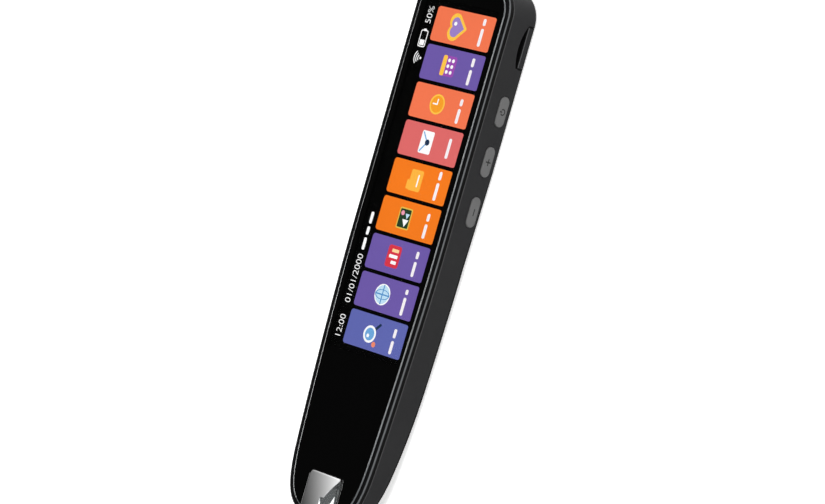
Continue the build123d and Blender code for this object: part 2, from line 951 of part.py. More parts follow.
def speaker_cone():
    """Cone plate in the speaker's recess."""
    low = back_wall + gasket_thickness + cone_depth
    return speaker_plate(gasket_width + 2 * cone_gap, low, low + cone_depth)


def speaker_gasket():
    """Foam ring between the speaker and the back."""
    low = back_wall
    return speaker_plate(0, low, low + gasket_thickness) - speaker_plate(
        gasket_width, low - cut_over, low + gasket_thickness + cut_over
    )


def speaker_mesh():
    """Dust mesh over the sound holes, inside the gasket."""
    return speaker_plate(gasket_width + cone_gap, back_wall, back_wall + mesh_thickness)


def button(y):
    """Button with its pill through the wall, the flange behind it and the nub on the flange."""
    flange_out = inner_x - flange_gap
    flange_in = flange_out - flange_thickness
    cap = pill(0, flange_out, y, half_width + button_proud - flange_out)
    cap = fillet(cap.faces().sort_by(Axis.X)[-1].edges(), button_round)
    cap += pill(flange_margin, flange_in, y, flange_thickness)
    nub_end = (flange_in - nub_length, y, button_height)
    return cap + rod(nub_radius, (flange_in + nub_length, y, button_height), nub_end)


def switch_face_x():
    """Where the front of a key switch stands."""
    nub_x = inner_x - flange_gap - flange_thickness - nub_length
    return nub_x - plunger_gap - plunger_reach


def key_switch(y):
    """Body of a key switch with the bore of its plunger."""
    face_x = switch_face_x()
    body = block(
        (face_x - switch_depth, y - switch_length / 2, button_height - switch_height / 2),
        (face_x, y + switch_length / 2, button_height + switch_height / 2),
    )
    bore_end = (face_x - switch_bore_depth, y, button_height)
    return body - rod(plunger_radius + plunger_gap, bore_end, (face_x + cut_over, y, button_height))


def key_plunger(y):
    """Plunger of a key switch, pushed by the button's nub."""
    face_x = switch_face_x()
    inner = face_x - (switch_bore_depth - button_travel) + plunger_gap
    return rod(plunger_radius, (inner, y, button_height), (face_x + plunger_reach, y, button_height))


def key_flex():
    """Flex behind the switches, with its tail to the right connector."""
    x = switch_face_x() - switch_depth
    low, high = button_height - key_flex_width / 2, button_height + key_flex_width / 2
    near_x = x - key_flex_thickness
    fold_y = (battery_end_y - protection_length + board_top_y) / 2
    half_tail = flex_bend
    top = connector_top + flex_thickness / 2
    body = block((near_x, fold_y - half_tail, low), (x, button_ys[0] + key_flex_margin, high))
    body += block((near_x, fold_y - half_tail, low), (x, fold_y + half_tail, top))
    tail_x = connector_pitch - key_flex_width / 2
    body += block((tail_x, fold_y - half_tail, top - flex_thickness), (x, fold_y + half_tail, top))
    return body + block(
        (tail_x, connector_y, top - flex_thickness), (tail_x + key_flex_width, fold_y + half_tail, top)
    )


def key_bracket():
    """Steel strip that backs the switches."""
    x = switch_face_x() - switch_depth - key_flex_thickness
    return block(
        (x - bracket_thickness, button_ys[-1] - bracket_margin, bracket_low),
        (x, button_ys[0] + bracket_margin, bracket_high - slot_gap),
    )


def camera_board():
    """Upright circuit board of the camera."""
    half, low = camera_board_width / 2, camera_height - camera_board_height / 2
    return block(
        (-half, camera_board_y - camera_board_thickness, low),
        (half, camera_board_y, low + camera_board_height),
    )


def image_sensor():
    """Sensor chip inside the lens holder."""
    face_y, half = camera_board_y - camera_board_thickness, sensor_size / 2
    return block(
        (-half, face_y - sensor_thickness, camera_height - half), (half, face_y, camera_height + half)
    )


def camera_holder():
    """Square holder that carries the lens barrel."""
    face_y = camera_board_y - camera_board_thickness
    face = RectangleRounded(holder_size, holder_size, holder_round)
    body = extrude(on_end(face, 0, face_y - holder_length, camera_height), amount=holder_length)
    start = (0, face_y - holder_length - cut_over, camera_height)
    return body - rod(barrel_radius + barrel_gap, start, (0, face_y + cut_over, camera_height))


def lens_barrel():
    """Lens barrel with its front bore."""
    front_y = tip_y + barrel_front
    body = rod(barrel_radius, (0, front_y, camera_height), (0, front_y + barrel_length, camera_height))
    inner = rod(barrel_aperture, (0, front_y - cut_over, camera_height),
                (0, front_y + barrel_length + cut_over, camera_height))
    seat = rod(lens_radius + barrel_gap, (0, front_y - cut_over, camera_height),
               (0, front_y + lens_recess + lens_thickness, camera_height))
    return body - inner - seat


def lens():
    """Front lens with a domed face."""
    back_y = tip_y + barrel_front + lens_recess + lens_thickness
    front_y = back_y - lens_thickness
    body = rod(lens_radius, (0, front_y, camera_height), (0, back_y, camera_height))
    return body & (Pos(0, front_y + lens_curve, camera_height) * Sphere(lens_curve))


def led_board():
    """Upright ring board with the lights and the tip switch."""
    body = block(
        (-led_board_left, led_board_y - led_board_thickness, led_board_bottom),
        (led_board_right, led_board_y, led_board_top),
    )
    start = (0, led_board_y - led_board_thickness - cut_over, camera_height)
    return body - rod(led_hole_radius, start, (0, led_board_y + cut_over, camera_height))


def scan_leds():
    """Four white lights beside the lens."""
    face_y = led_board_y - led_board_thickness
    made = []
    for side in (-1, 1):
        for row in (-1, 1):
            x, z = side * led_x, camera_height + row * led_row_half
            made.append(block(
                (x - led_width / 2, face_y - led_depth, z - led_height / 2),
                (x + led_width / 2, face_y, z + led_height / 2),
            ))
    return Compound(children=made)


def chamber_form(shrink, near_y, far_y):
    """Tapered channel from the light board to the nose."""
    sections = []
    levels = (
        (far_y, chamber_back_width, camera_height - chamber_back_half, camera_height + chamber_back_half),
        (near_y, chamber_front_width, chamber_front_low, chamber_front_high),
    )
    for y, width, low, high in levels:
        face = Rectangle(width - 2 * shrink, high - low - 2 * shrink)
        sections.append(on_end(face, 0, y, (low + high) / 2))
    return loft(sections, ruled=True)


def light_chamber():
    """White reflector round the light path, open at both ends and under the window."""
    far_y = led_board_y - led_board_thickness - chamber_gap
    near_y = far_y - chamber_length
    body = chamber_form(0, near_y, far_y) - chamber_form(chamber_wall, near_y, far_y)
    half = window_width / 2 - chamber_window_margin
    return body - block(
        (-half, near_y - cut_over, camera_height + chamber_wall),
        (half, window_top_y - chamber_window_margin, front_z),
    )


def scan_nose():
    """Clear nose: a closed end that stands out of the mouth, a shoulder inside the wall and two arms."""
    half = nose_width / 2
    back_y = tip_y + nose_body_length
    body = block((-half, tip_y - 2 * nose_reach, nose_low), (half, back_y, nose_high))
    body &= outline(-nose_reach, nose_low, nose_high)
    outside = [e for e in body.edges() if e.center().Y < tip_y + window_gap]
    body = fillet([e for e in outside if abs(e.tangent_at(0).Z) < half_turn_share], nose_round)
    shoulder_y = tip_y + shoulder_from_tip
    body += block(
        (-shoulder_half, shoulder_y, nose_low), (shoulder_half, shoulder_y + shoulder_length, nose_high)
    )
    inner = block(
        (-half + nose_wall, tip_y - 2 * nose_reach, nose_low + nose_wall),
        (half - nose_wall, back_y + cut_over, nose_high - nose_wall),
    )
    body -= inner & outline(nose_wall - nose_reach, nose_low, nose_high)
    for side in (-1, 1):
        near, far = sorted((side * (shoulder_half - arm_thickness), side * shoulder_half))
        body += block((near, shoulder_y, arm_low), (far, arm_end_y, arm_high))
    tab = block((shoulder_half - arm_thickness, arm_end_y - tab_length, arm_low),
                (shoulder_half + tab_reach, arm_end_y, arm_high))
    return body + tab


def nose_spring(side):
    """Return spring between an arm of the nose and the light board."""
    x = side * (shoulder_half - arm_thickness / 2)
    far_y = led_board_y - led_board_thickness
    start = arm_end_y + spring_wire + plunger_gap
    height = far_y - arm_end_y - 2 * (spring_wire + plunger_gap)
    z = (arm_low + arm_high) / 2
    path = Helix(height / spring_turns, height, spring_radius, center=(x, start, z), direction=(0, 1, 0))
    wire = RegularPolygon(spring_wire, spring_wire_sides)
    return sweep(Plane(path @ 0, z_dir=path % 0) * wire, path=path)


def tip_switch():
    """Body of the switch that the nose closes."""
    face_y = led_board_y - led_board_thickness
    z = (arm_low + arm_high) / 2
    body = block(
        (tip_switch_x - tip_switch_width / 2, face_y - tip_switch_depth, z - tip_switch_height / 2),
        (tip_switch_x + tip_switch_width / 2, face_y, z + tip_switch_height / 2),
    )
    front_y = face_y - tip_switch_depth
    bore_end = (tip_switch_x, front_y + tip_switch_depth - chamber_wall + plunger_gap, z)
    return body - rod(tip_plunger_radius + plunger_gap, (tip_switch_x, front_y - cut_over, z), bore_end)


def tip_switch_plunger():
    """Plunger of the tip switch, pushed by the tab on the nose."""
    front_y = led_board_y - led_board_thickness - tip_switch_depth
    z = (arm_low + arm_high) / 2
    inner_end = (tip_switch_x, front_y + nose_travel - plunger_gap, z)
    return rod(tip_plunger_radius, (tip_switch_x, front_y - tip_plunger_reach, z), inner_end)


def optical_adhesive():
    """Clear film that bonds the screen cell to the glass."""
    return screen_plate(cell_high, glass_low, frame_lip_gap, screen_end_y + cell_step_length)


def parts():
    """Every piece of the pen by its name."""
    made = {
        "rear_housing": rear_housing(),
        "front_bezel": front_bezel(),
        "glass_adhesive": glass_adhesive(),
        "cover_glass": cover_glass(),
        "tip_window": tip_window(),
        "window_gasket": window_gasket(),
        "optical_adhesive": optical_adhesive(),
        "display_panel": display_panel(),
        "backlight_tray": backlight_tray(),
        "light_guide": light_guide(),
        "display_flex": display_flex(),
        "mid_frame": mid_frame(),
        "mid_frame_screws": screws(frame_boss_places(), frame_high - screw_recess, screw_length),
        "battery": battery(),
        "battery_tape": battery_tape(),
        "protection_board": protection_board(),
        "battery_flex": battery_flex(),
        "main_board": main_board(),
        "board_screws": screws(board_boss_places(), board_high, screw_length),
        "shield_can": shield_can(),
        "processor": processor(),
        "memory_chip": memory_chip(),
        "board_connectors": board_connectors(),
        "wifi_antenna": wifi_antenna(),
        "usb_board": usb_board(),
        "usb_board_screws": screws(usb_boss_places(), usb_board_high, usb_screw_length),
        "usb_shell": usb_shell(),
        "usb_tongue": usb_tongue(),
        "microphone": microphone(),
        "speaker_frame": speaker_frame(),
        "speaker_cone": speaker_cone(),
        "speaker_gasket": speaker_gasket(),
        "speaker_mesh": speaker_mesh(),
        "key_bracket": key_bracket(),
        "key_flex": key_flex(),
        "strap_bar": strap_bar(),
        "camera_board": camera_board(),
        "image_sensor": image_sensor(),
        "camera_holder": camera_holder(),
        "lens_barrel": lens_barrel(),
        "lens": lens(),
        "camera_flex": camera_flex(),
        "led_board": led_board(),
        "scan_leds": scan_leds(),
        "light_chamber": light_chamber(),
        "scan_nose": scan_nose(),
        "left_nose_spring": nose_spring(-1),
        "right_nose_spring": nose_spring(1),
        "tip_switch": tip_switch(),
        "tip_switch_plunger": tip_switch_plunger(),
    }
    for name, y in zip(("power", "plus", "minus"), button_ys):
        made[name + "_button"] = button(y)
        made[name + "_switch"] = key_switch(y)
        made[name + "_switch_plunger"] = key_plunger(y)
    return made


os.makedirs("parts", exist_ok=True)
for part_name, solid in parts().items():
    export_step(solid, os.path.join("parts", part_name + ".step"))
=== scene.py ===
import math
import bmesh
import bpy
from mathutils import Matrix, Vector


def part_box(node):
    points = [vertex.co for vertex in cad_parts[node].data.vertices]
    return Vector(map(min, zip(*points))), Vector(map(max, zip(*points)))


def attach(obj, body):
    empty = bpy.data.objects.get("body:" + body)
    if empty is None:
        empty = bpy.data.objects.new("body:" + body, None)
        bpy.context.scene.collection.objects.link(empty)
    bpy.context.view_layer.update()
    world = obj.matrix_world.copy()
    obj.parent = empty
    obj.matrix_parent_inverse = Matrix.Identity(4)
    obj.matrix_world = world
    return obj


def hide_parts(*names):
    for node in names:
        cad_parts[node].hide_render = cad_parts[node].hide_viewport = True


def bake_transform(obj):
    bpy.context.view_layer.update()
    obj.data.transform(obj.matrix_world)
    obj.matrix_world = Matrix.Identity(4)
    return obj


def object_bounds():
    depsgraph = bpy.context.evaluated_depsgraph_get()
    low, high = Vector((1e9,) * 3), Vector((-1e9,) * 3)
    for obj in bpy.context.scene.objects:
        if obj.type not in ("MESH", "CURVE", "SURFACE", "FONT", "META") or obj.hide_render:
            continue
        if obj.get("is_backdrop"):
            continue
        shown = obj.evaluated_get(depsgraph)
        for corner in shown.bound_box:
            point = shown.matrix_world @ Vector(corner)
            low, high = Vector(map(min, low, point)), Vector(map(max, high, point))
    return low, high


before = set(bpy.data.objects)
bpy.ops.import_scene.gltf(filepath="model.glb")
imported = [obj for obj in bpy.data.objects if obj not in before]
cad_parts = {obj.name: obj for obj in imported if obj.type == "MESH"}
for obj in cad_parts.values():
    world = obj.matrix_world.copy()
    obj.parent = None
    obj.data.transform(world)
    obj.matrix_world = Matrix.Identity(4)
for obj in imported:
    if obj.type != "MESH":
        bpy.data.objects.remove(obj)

# The CAD box
# Its corners are kept from before anything is added, for the size record at the end.
cad_low, cad_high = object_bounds()


# The camera
# It has the place, turn and lens that the nine tiles of the screen give in the photograph's frame.
# Colours are shown as they are, with no film look.
mm = 0.001
photo_width_px = 825
focal_px = 3540.4
sensor_width_mm = 36.0
camera_reach = 100.0
camera_place = (669.21 * mm, 8.12 * mm, 677.71 * mm)
camera_turn_degrees = (15.016, 42.732, 22.160)
camera_data = bpy.data.cameras.new("photo_camera")
camera_data.sensor_width = sensor_width_mm
camera_data.lens = sensor_width_mm * focal_px / photo_width_px
camera_data.clip_end = camera_reach
camera = bpy.data.objects.new("photo_camera", camera_data)
bpy.context.scene.collection.objects.link(camera)
camera.location = camera_place
camera.rotation_euler = [math.radians(turn) for turn in camera_turn_degrees]
bpy.context.scene.camera = camera
bpy.context.scene.view_settings.view_transform = "Standard"


# The table
# White laminate under the pen. The share of white that the lamps don't give is its own glow,
# seen by the camera, by reflections and through glass, so that the shadow of the pen stays.
def linear(hex_colour):
    """The linear colour that a shader takes, from an sRGB hex value."""
    values = [int(hex_colour[i:i + 2], 16) / 255 for i in (1, 3, 5)]
    return [v / 12.92 if v <= 0.04045 else ((v + 0.055) / 1.055) ** 2.4 for v in values] + [1.0]


def add(tree, kind, values=None, links=None, **options):
    """One node: options are its settings, values its socket values, links its inputs."""
    made = tree.nodes.new(kind)
    for key, value in options.items():
        setattr(made, key, value)
    for socket, value in (values or {}).items():
        made.inputs[socket].default_value = value
    for socket, source in (links or {}).items():
        tree.links.new(source, made.inputs[socket])
    return made


table_size = 40.0
table_gap = 0.02 * mm
table_glow = 0.58
bpy.ops.object.select_all(action="DESELECT")
bpy.ops.mesh.primitive_plane_add(size=table_size, location=(0, 0, -table_gap))
table = bpy.context.object
table.name = "table"
laminate = bpy.data.materials.new("white_laminate")
laminate.use_nodes = True
tree = laminate.node_tree
tree.nodes.clear()
path = add(tree, "ShaderNodeLightPath")
seen = path.outputs["Is Camera Ray"]
for ray in ("Is Glossy Ray", "Is Transmission Ray"):
    seen = add(tree, "ShaderNodeMath", links={0: seen, 1: path.outputs[ray]}, operation="MAXIMUM").outputs[0]
strength = add(tree, "ShaderNodeMath", {1: table_glow}, {0: seen}, operation="MULTIPLY")
matt = add(tree, "ShaderNodeBsdfDiffuse", {"Color": linear("#F6F6F6")})
glow = add(tree, "ShaderNodeEmission", {"Color": linear("#FFFFFF")}, {"Strength": strength.outputs[0]})
both = add(tree, "ShaderNodeAddShader", links={0: matt.outputs[0], 1: glow.outputs[0]})
add(tree, "ShaderNodeOutputMaterial", links={"Surface": both.outputs[0]})
table.data.materials.append(laminate)
table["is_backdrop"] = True


# The light
# A dark studio with a low white wall all round, so that the flat glass stays black and its edges
# catch thin bright lines. A broad sun-like softbox hangs overhead, and smaller ones stand on the
# button side, on the far side and past the top end. The camera doesn't see them, nor through glass.
wall_top_share = 0.30
wall_low_share = 0.12
studio_dark = 0.02
world = bpy.data.worlds.new("studio")
world.use_nodes = True
tree = world.node_tree
tree.nodes.clear()
direction = add(tree, "ShaderNodeTexCoord")
parts = add(tree, "ShaderNodeSeparateXYZ", links={0: direction.outputs["Generated"]})
height = add(tree, "ShaderNodeMapRange",
             {"From Min": wall_low_share, "From Max": wall_top_share, "To Min": 1.0, "To Max": studio_dark},
             {"Value": parts.outputs["Z"]}, interpolation_type="SMOOTHSTEP")
sky = add(tree, "ShaderNodeBackground", {"Color": linear("#FFFFFF")}, {"Strength": height.outputs[0]})
add(tree, "ShaderNodeOutputWorld", links={"Surface": sky.outputs[0]})
bpy.context.scene.world = world

pen_middle = Vector((0.0, 0.0, 5 * mm))
overhead_place = (0.25, 0.05, 1.0)
overhead_strength = 1.9
overhead_breadth = math.radians(28)
softboxes = (
    ("button_side", (0.9, 0.15, 0.35), 3.6, 0.8, 0.3),
    ("far_side", (-0.9, 0.1, 0.28), 8.0, 1.0, 0.2),
    ("top_end", (0.35, 0.9, 0.3), 3.0, 0.5, 0.3),
)


def lamp(name, kind, place, energy, **settings):
    """One lamp that shines from a place towards the middle of the pen."""
    data = bpy.data.lights.new(name, kind)
    data.energy = energy
    for key, value in settings.items():
        setattr(data, key, value)
    made = bpy.data.objects.new(name, data)
    bpy.context.scene.collection.objects.link(made)
    made.location = place
    made.rotation_euler = (pen_middle - Vector(place)).to_track_quat("-Z", "Y").to_euler()
    made.visible_camera = False
    made.visible_transmission = False


lamp("overhead", "SUN", overhead_place, overhead_strength, angle=overhead_breadth)
for name, place, watts, width, height in softboxes:
    lamp(name, "AREA", place, watts, shape="RECTANGLE", size=width, size_y=height)


# Housing and strap bar
# One moulded shell of black ABS, with a bar of the same in its lanyard slot. The spark-eroded grain of
# 0.15 mm, drawn a little coarser to show, spreads the light into a soft dark grey. The upper rim has a
# painted highlight; the slot, its ends, the bar's top and the lower edge are painted darker as shade.
def new_finish(name, values=None):
    """A material with its tree and its main shader, whose sockets take the values."""
    made = bpy.data.materials.new(name)
    made.use_nodes = True
    shader = made.node_tree.nodes["Principled BSDF"]
    for socket, value in (values or {}).items():
        shader.inputs[socket].default_value = value
    return made, made.node_tree, shader


def dress(finish, *names):
    """Gives the CAD nodes of these names a finish."""
    for name in names:
        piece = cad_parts[name]
        if not piece.material_slots:
            piece.data.materials.append(finish)
        for place in piece.material_slots:
            place.material = finish


housing_grain = 0.22 * mm
grain_depth = 0.02 * mm
housing_cloud = 9.0 * mm
# How far up (1) or down (-1) a face looks where the painted highlight of the rim and the painted shade
# of the lower edge begin and are full, and where the flat back ends
rim_highlight_starts, rim_highlight_full = 0.15, 0.45
edge_shade_starts, edge_shade_full = -0.02, -0.35
back_flat, back_ends = -0.99, -0.9
slot_shade_low, slot_shade_high = Vector((11.0, 55.4, 0.05)) * mm, Vector((15.7, 67.3, 5.0)) * mm
lower_end_shade_low, lower_end_shade_high = Vector((15.4, 55.3, -0.1)) * mm, Vector((17.7, 55.85, 3.0)) * mm
upper_end_shade_low, upper_end_shade_high = Vector((15.4, 66.85, -0.1)) * mm, Vector((17.7, 67.4, 3.0)) * mm
bar_top_shade_low, bar_top_shade_high = Vector((15.4, 55.3, 2.7)) * mm, Vector((17.47, 67.4, 5.0)) * mm
abs_black, tree, shader = new_finish("moulded_black_abs", {"IOR": 1.53, "Specular IOR Level": 0.06})
place = add(tree, "ShaderNodeTexCoord")
spot = add(tree, "ShaderNodeSeparateXYZ", links={0: place.outputs["Object"]})
facing = add(tree, "ShaderNodeSeparateXYZ", links={0: place.outputs["Normal"]})
grain = add(tree, "ShaderNodeTexNoise", {"Scale": 1 / housing_grain, "Detail": 3.0},
            {"Vector": place.outputs["Object"]})
cloud = add(tree, "ShaderNodeTexNoise", {"Scale": 1 / housing_cloud, "Detail": 4.0},
            {"Vector": place.outputs["Object"]})
colour = add(tree, "ShaderNodeMix", {6: linear("#212122"), 7: linear("#29292A")},
             {0: cloud.outputs["Fac"]}, data_type="RGBA")
# Painted highlight: faces that look up, along the upper rim, are coloured lighter.
painted_rim_highlight = add(tree, "ShaderNodeMapRange", {"From Min": rim_highlight_starts, "From Max": rim_highlight_full},
          {"Value": facing.outputs["Z"]})
colour = add(tree, "ShaderNodeMix", {7: linear("#4A4A4B")}, {0: painted_rim_highlight.outputs[0], 6: colour.outputs[2]},
             data_type="RGBA")
# Painted shade: faces turned down at the lower edge, but not the flat back, are coloured darker.
painted_edge_shade = add(tree, "ShaderNodeMapRange", {"From Min": edge_shade_starts, "From Max": edge_shade_full},
                {"Value": facing.outputs["Z"]})
not_flat = add(tree, "ShaderNodeMapRange", {"From Min": back_flat, "From Max": back_ends},
               {"Value": facing.outputs["Z"]})
dark = add(tree, "ShaderNodeMath", links={0: painted_edge_shade.outputs[0], 1: not_flat.outputs[0]},
           operation="MULTIPLY").outputs[0]
# Painted shade in boxes round the slot, its ends and the bar's top.
for low, high in ((slot_shade_low, slot_shade_high), (lower_end_shade_low, lower_end_shade_high),
                  (upper_end_shade_low, upper_end_shade_high), (bar_top_shade_low, bar_top_shade_high)):
    within = [add(tree, "ShaderNodeMath", {1: (low[axis] + high[axis]) / 2, 2: (high[axis] - low[axis]) / 2},
                  {0: spot.outputs[axis]}, operation="COMPARE").outputs[0] for axis in range(3)]
    inside = add(tree, "ShaderNodeMath", links={0: within[0], 1: within[1]}, operation="MULTIPLY")
    inside = add(tree, "ShaderNodeMath", links={0: inside.outputs[0], 1: within[2]}, operation="MULTIPLY")
    dark = add(tree, "ShaderNodeMath", links={0: dark, 1: inside.outputs[0]},
               operation="MAXIMUM").outputs[0]
# The colour of the painted shade.
colour = add(tree, "ShaderNodeMix", {7: linear("#141414")}, {0: dark, 6: colour.outputs[2]},
             data_type="RGBA")
rough = add(tree, "ShaderNodeMapRange", {"To Min": 0.40, "To Max": 0.50}, {"Value": cloud.outputs["Fac"]})
rough = add(tree, "ShaderNodeMath", links={0: rough.outputs[0], 1: dark}, operation="MAXIMUM")
bump = add(tree, "ShaderNodeBump", {"Strength": 0.25, "Distance": grain_depth},
           {"Height": grain.outputs["Fac"]})
tree.links.new(colour.outputs[2], shader.inputs["Base Color"])
tree.links.new(rough.outputs[0], shader.inputs["Roughness"])
tree.links.new(bump.outputs[0], shader.inputs["Normal"])
dress(abs_black, "rear_housing", "strap_bar")


# Ring round the glass
# A separate moulding of black polycarbonate, clipped into the housing by the tongue inside. Its
# face is polished, its rounded edges are painted light grey as thin highlight lines, and its side is painted
# near black as shade.
def edge_mask(tree, flat_from, side_to):
    """One on the rounded edge between a face that looks up and an upright side, else nothing."""
    place = add(tree, "ShaderNodeTexCoord")
    up = add(tree, "ShaderNodeSeparateXYZ", links={0: place.outputs["Normal"]}).outputs["Z"]
    off_face = add(tree, "ShaderNodeMapRange",
                   {"From Min": flat_from, "From Max": 1.0, "To Min": 1.0, "To Max": 0.0},
                   {"Value": up}, interpolation_type="SMOOTHSTEP")
    off_side = add(tree, "ShaderNodeMapRange", {"From Min": 0.0, "From Max": side_to}, {"Value": up},
                   interpolation_type="SMOOTHSTEP")
    return add(tree, "ShaderNodeMath", links={0: off_face.outputs[0], 1: off_side.outputs[0]},
               operation="MULTIPLY").outputs[0]


ring_flat = 0.93
ring_upright = 0.75
side_shade_starts, side_shade_full = 0.2, 0.05
ring_black, tree, shader = new_finish("polished_black_polycarbonate", {"Specular IOR Level": 0.05})
edge = edge_mask(tree, ring_flat, ring_upright)
place = add(tree, "ShaderNodeTexCoord")
facing = add(tree, "ShaderNodeSeparateXYZ", links={0: place.outputs["Normal"]})
side = add(tree, "ShaderNodeMapRange", {"From Min": side_shade_starts, "From Max": side_shade_full},
           {"Value": facing.outputs["Z"]})
# Painted highlight: the rounded edges are coloured light grey as thin lines of light.
colour = add(tree, "ShaderNodeMix", {6: linear("#121213"), 7: linear("#646668")}, {0: edge},
             data_type="RGBA")
# Painted shade: the upright side is coloured near black.
colour = add(tree, "ShaderNodeMix", {7: linear("#020202")}, {0: side.outputs[0], 6: colour.outputs[2]},
             data_type="RGBA")
rough = add(tree, "ShaderNodeMapRange", {"To Min": 0.2, "To Max": 0.35}, {"Value": edge})
tree.links.new(colour.outputs[2], shader.inputs["Base Color"])
tree.links.new(rough.outputs[0], shader.inputs["Roughness"])
dress(ring_black, "front_bezel")


# Cover glass
# Toughened glass, printed black on its underside except over the lit area of the screen, and
# slightly smeared by fingers. Its rounded edge is painted light grey as a thin highlight line, but not round
# the window.
screen_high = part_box("display_panel")[1]
lit_margin = 0.5 * mm
lit_low_y = -29.0 * mm
lit_high_y = screen_high.y - lit_margin
lit_half_x = screen_high.x - lit_margin
smear_size = 14.0 * mm
window_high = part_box("tip_window")[1]
notch_edge = 0.6 * mm
glass_flat = 0.93
glass_upright = 0.5
glass_finish, tree, shader = new_finish("printed_toughened_glass", {"IOR": 1.5})
place = add(tree, "ShaderNodeTexCoord")
spot = add(tree, "ShaderNodeSeparateXYZ", links={0: place.outputs["Object"]})
across = add(tree, "ShaderNodeMath", {1: 0.0, 2: lit_half_x}, {0: spot.outputs["X"]}, operation="COMPARE")
along = add(tree, "ShaderNodeMath", {1: (lit_low_y + lit_high_y) / 2, 2: (lit_high_y - lit_low_y) / 2},
            {0: spot.outputs["Y"]}, operation="COMPARE")
clear = add(tree, "ShaderNodeMath", links={0: across.outputs[0], 1: along.outputs[0]},
            operation="MULTIPLY")
colour = add(tree, "ShaderNodeMix", {6: linear("#040404"), 7: linear("#FFFFFF")}, {0: clear.outputs[0]},
             data_type="RGBA")
aside = add(tree, "ShaderNodeMath", links={0: spot.outputs["X"]}, operation="ABSOLUTE")
far_x = add(tree, "ShaderNodeMath", {1: window_high.x + notch_edge}, {0: aside.outputs[0]},
            operation="GREATER_THAN")
far_y = add(tree, "ShaderNodeMath", {1: window_high.y + notch_edge}, {0: spot.outputs["Y"]},
            operation="GREATER_THAN")
outside = add(tree, "ShaderNodeMath", links={0: far_x.outputs[0], 1: far_y.outputs[0]},
              operation="MAXIMUM")
edge = add(tree, "ShaderNodeMath",
           links={0: edge_mask(tree, glass_flat, glass_upright), 1: outside.outputs[0]},
           operation="MULTIPLY")
# Painted highlight: the rounded edge is coloured light grey as a thin line of light, except round the
# window.
colour = add(tree, "ShaderNodeMix", {7: linear("#66696B")}, {0: edge.outputs[0], 6: colour.outputs[2]},
             data_type="RGBA")
smear = add(tree, "ShaderNodeTexNoise", {"Scale": 1 / smear_size, "Detail": 5.0},
            {"Vector": place.outputs["Object"]})
rough = add(tree, "ShaderNodeMapRange", {"To Min": 0.02, "To Max": 0.07}, {"Value": smear.outputs["Fac"]})
tree.links.new(colour.outputs[2], shader.inputs["Base Color"])
tree.links.new(clear.outputs[0], shader.inputs["Transmission Weight"])
tree.links.new(rough.outputs[0], shader.inputs["Roughness"])
dress(glass_finish, "cover_glass")


# Film between the glass and the cell
# Clear acrylic adhesive, which bonds the screen to the glass and leaves no face of its own to see,
# so it is drawn as clear as air.
film, tree, shader = new_finish("clear_acrylic_adhesive", {"Base Color": linear("#FFFFFF"), "Alpha": 0.0,
                                                           "Specular IOR Level": 0.0})
dress(film, "optical_adhesive")


# Nose and light guide
# Clear acrylic, moulded with a high polish, so that the lamps of the scan head shine through it.
# The nose slides in the mouth of the tip, and the guide carries the light to the window.
def let_lamps_through(tree, shader):
    """Gives a clear finish no shadow, so that light gets past it."""
    path = add(tree, "ShaderNodeLightPath")
    open_air = add(tree, "ShaderNodeBsdfTransparent")
    mixed = add(tree, "ShaderNodeMixShader",
                links={0: path.outputs["Is Shadow Ray"], 1: shader.outputs[0], 2: open_air.outputs[0]})
    tree.links.new(mixed.outputs[0], tree.nodes["Material Output"].inputs["Surface"])


acrylic, tree, shader = new_finish("clear_acrylic", {
    "Base Color": linear("#F4F7F8"), "Roughness": 0.03, "Transmission Weight": 1.0, "IOR": 1.49})
let_lamps_through(tree, shader)
dress(acrylic, "scan_nose", "light_guide")


# Window over the scan head
# Clear acrylic let into the glass, with its upright sides painted black down to the tip. A painted
# reflection covers its face on the left, up to a bowed line, and is left off near the light points. It
# grows lighter towards the right and the top, up to a painted highlight on the brim.
reflection_start_x = 5.645 * mm
reflection_start_y = -61.9 * mm
reflection_slope = 0.993
reflection_bow = 0.034 / mm
points_start_y = -68.3 * mm
points_left_x = -0.68 * mm
reflection_middle = 486.0 / 255
reflection_across = 11.2 / 255 / mm
reflection_along = 4.77 / 255 / mm
painted_from_y = -71.5 * mm
brim_highlight_width = 0.5 * mm
brim_highlight_gain = 0.2
screen_gamma = 2.2
face_up = 0.2
side_lean = 0.3
window_with_painted_reflection, tree, shader = new_finish("clear_acrylic_with_painted_reflection", {"Roughness": 0.06, "IOR": 1.49})
place = add(tree, "ShaderNodeTexCoord")
spot = add(tree, "ShaderNodeSeparateXYZ", links={0: place.outputs["Object"]})
facing = add(tree, "ShaderNodeSeparateXYZ", links={0: place.outputs["Normal"]})
# Painted reflection: it covers faces that look up, left of a bowed line, and is left off near the light
# points.
down = add(tree, "ShaderNodeMath", {1: reflection_start_y}, {0: spot.outputs["Y"]}, operation="SUBTRACT")
edge = add(tree, "ShaderNodeMath", {1: reflection_bow, 2: reflection_slope}, {0: down.outputs[0]},
           operation="MULTIPLY_ADD")
edge = add(tree, "ShaderNodeMath", {2: reflection_start_x}, {0: edge.outputs[0], 1: down.outputs[0]},
           operation="MULTIPLY_ADD")
painted_reflection = add(tree, "ShaderNodeMath", links={0: spot.outputs["X"], 1: edge.outputs[0]},
             operation="LESS_THAN")
top = add(tree, "ShaderNodeMath", {1: face_up}, {0: facing.outputs["Z"]}, operation="GREATER_THAN")
painted_reflection = add(tree, "ShaderNodeMath", links={0: painted_reflection.outputs[0], 1: top.outputs[0]}, operation="MULTIPLY")
low = add(tree, "ShaderNodeMath", {1: points_start_y}, {0: spot.outputs["Y"]}, operation="LESS_THAN")
right = add(tree, "ShaderNodeMath", {1: points_left_x}, {0: spot.outputs["X"]}, operation="GREATER_THAN")
bare = add(tree, "ShaderNodeMath", links={0: low.outputs[0], 1: right.outputs[0]}, operation="MULTIPLY")
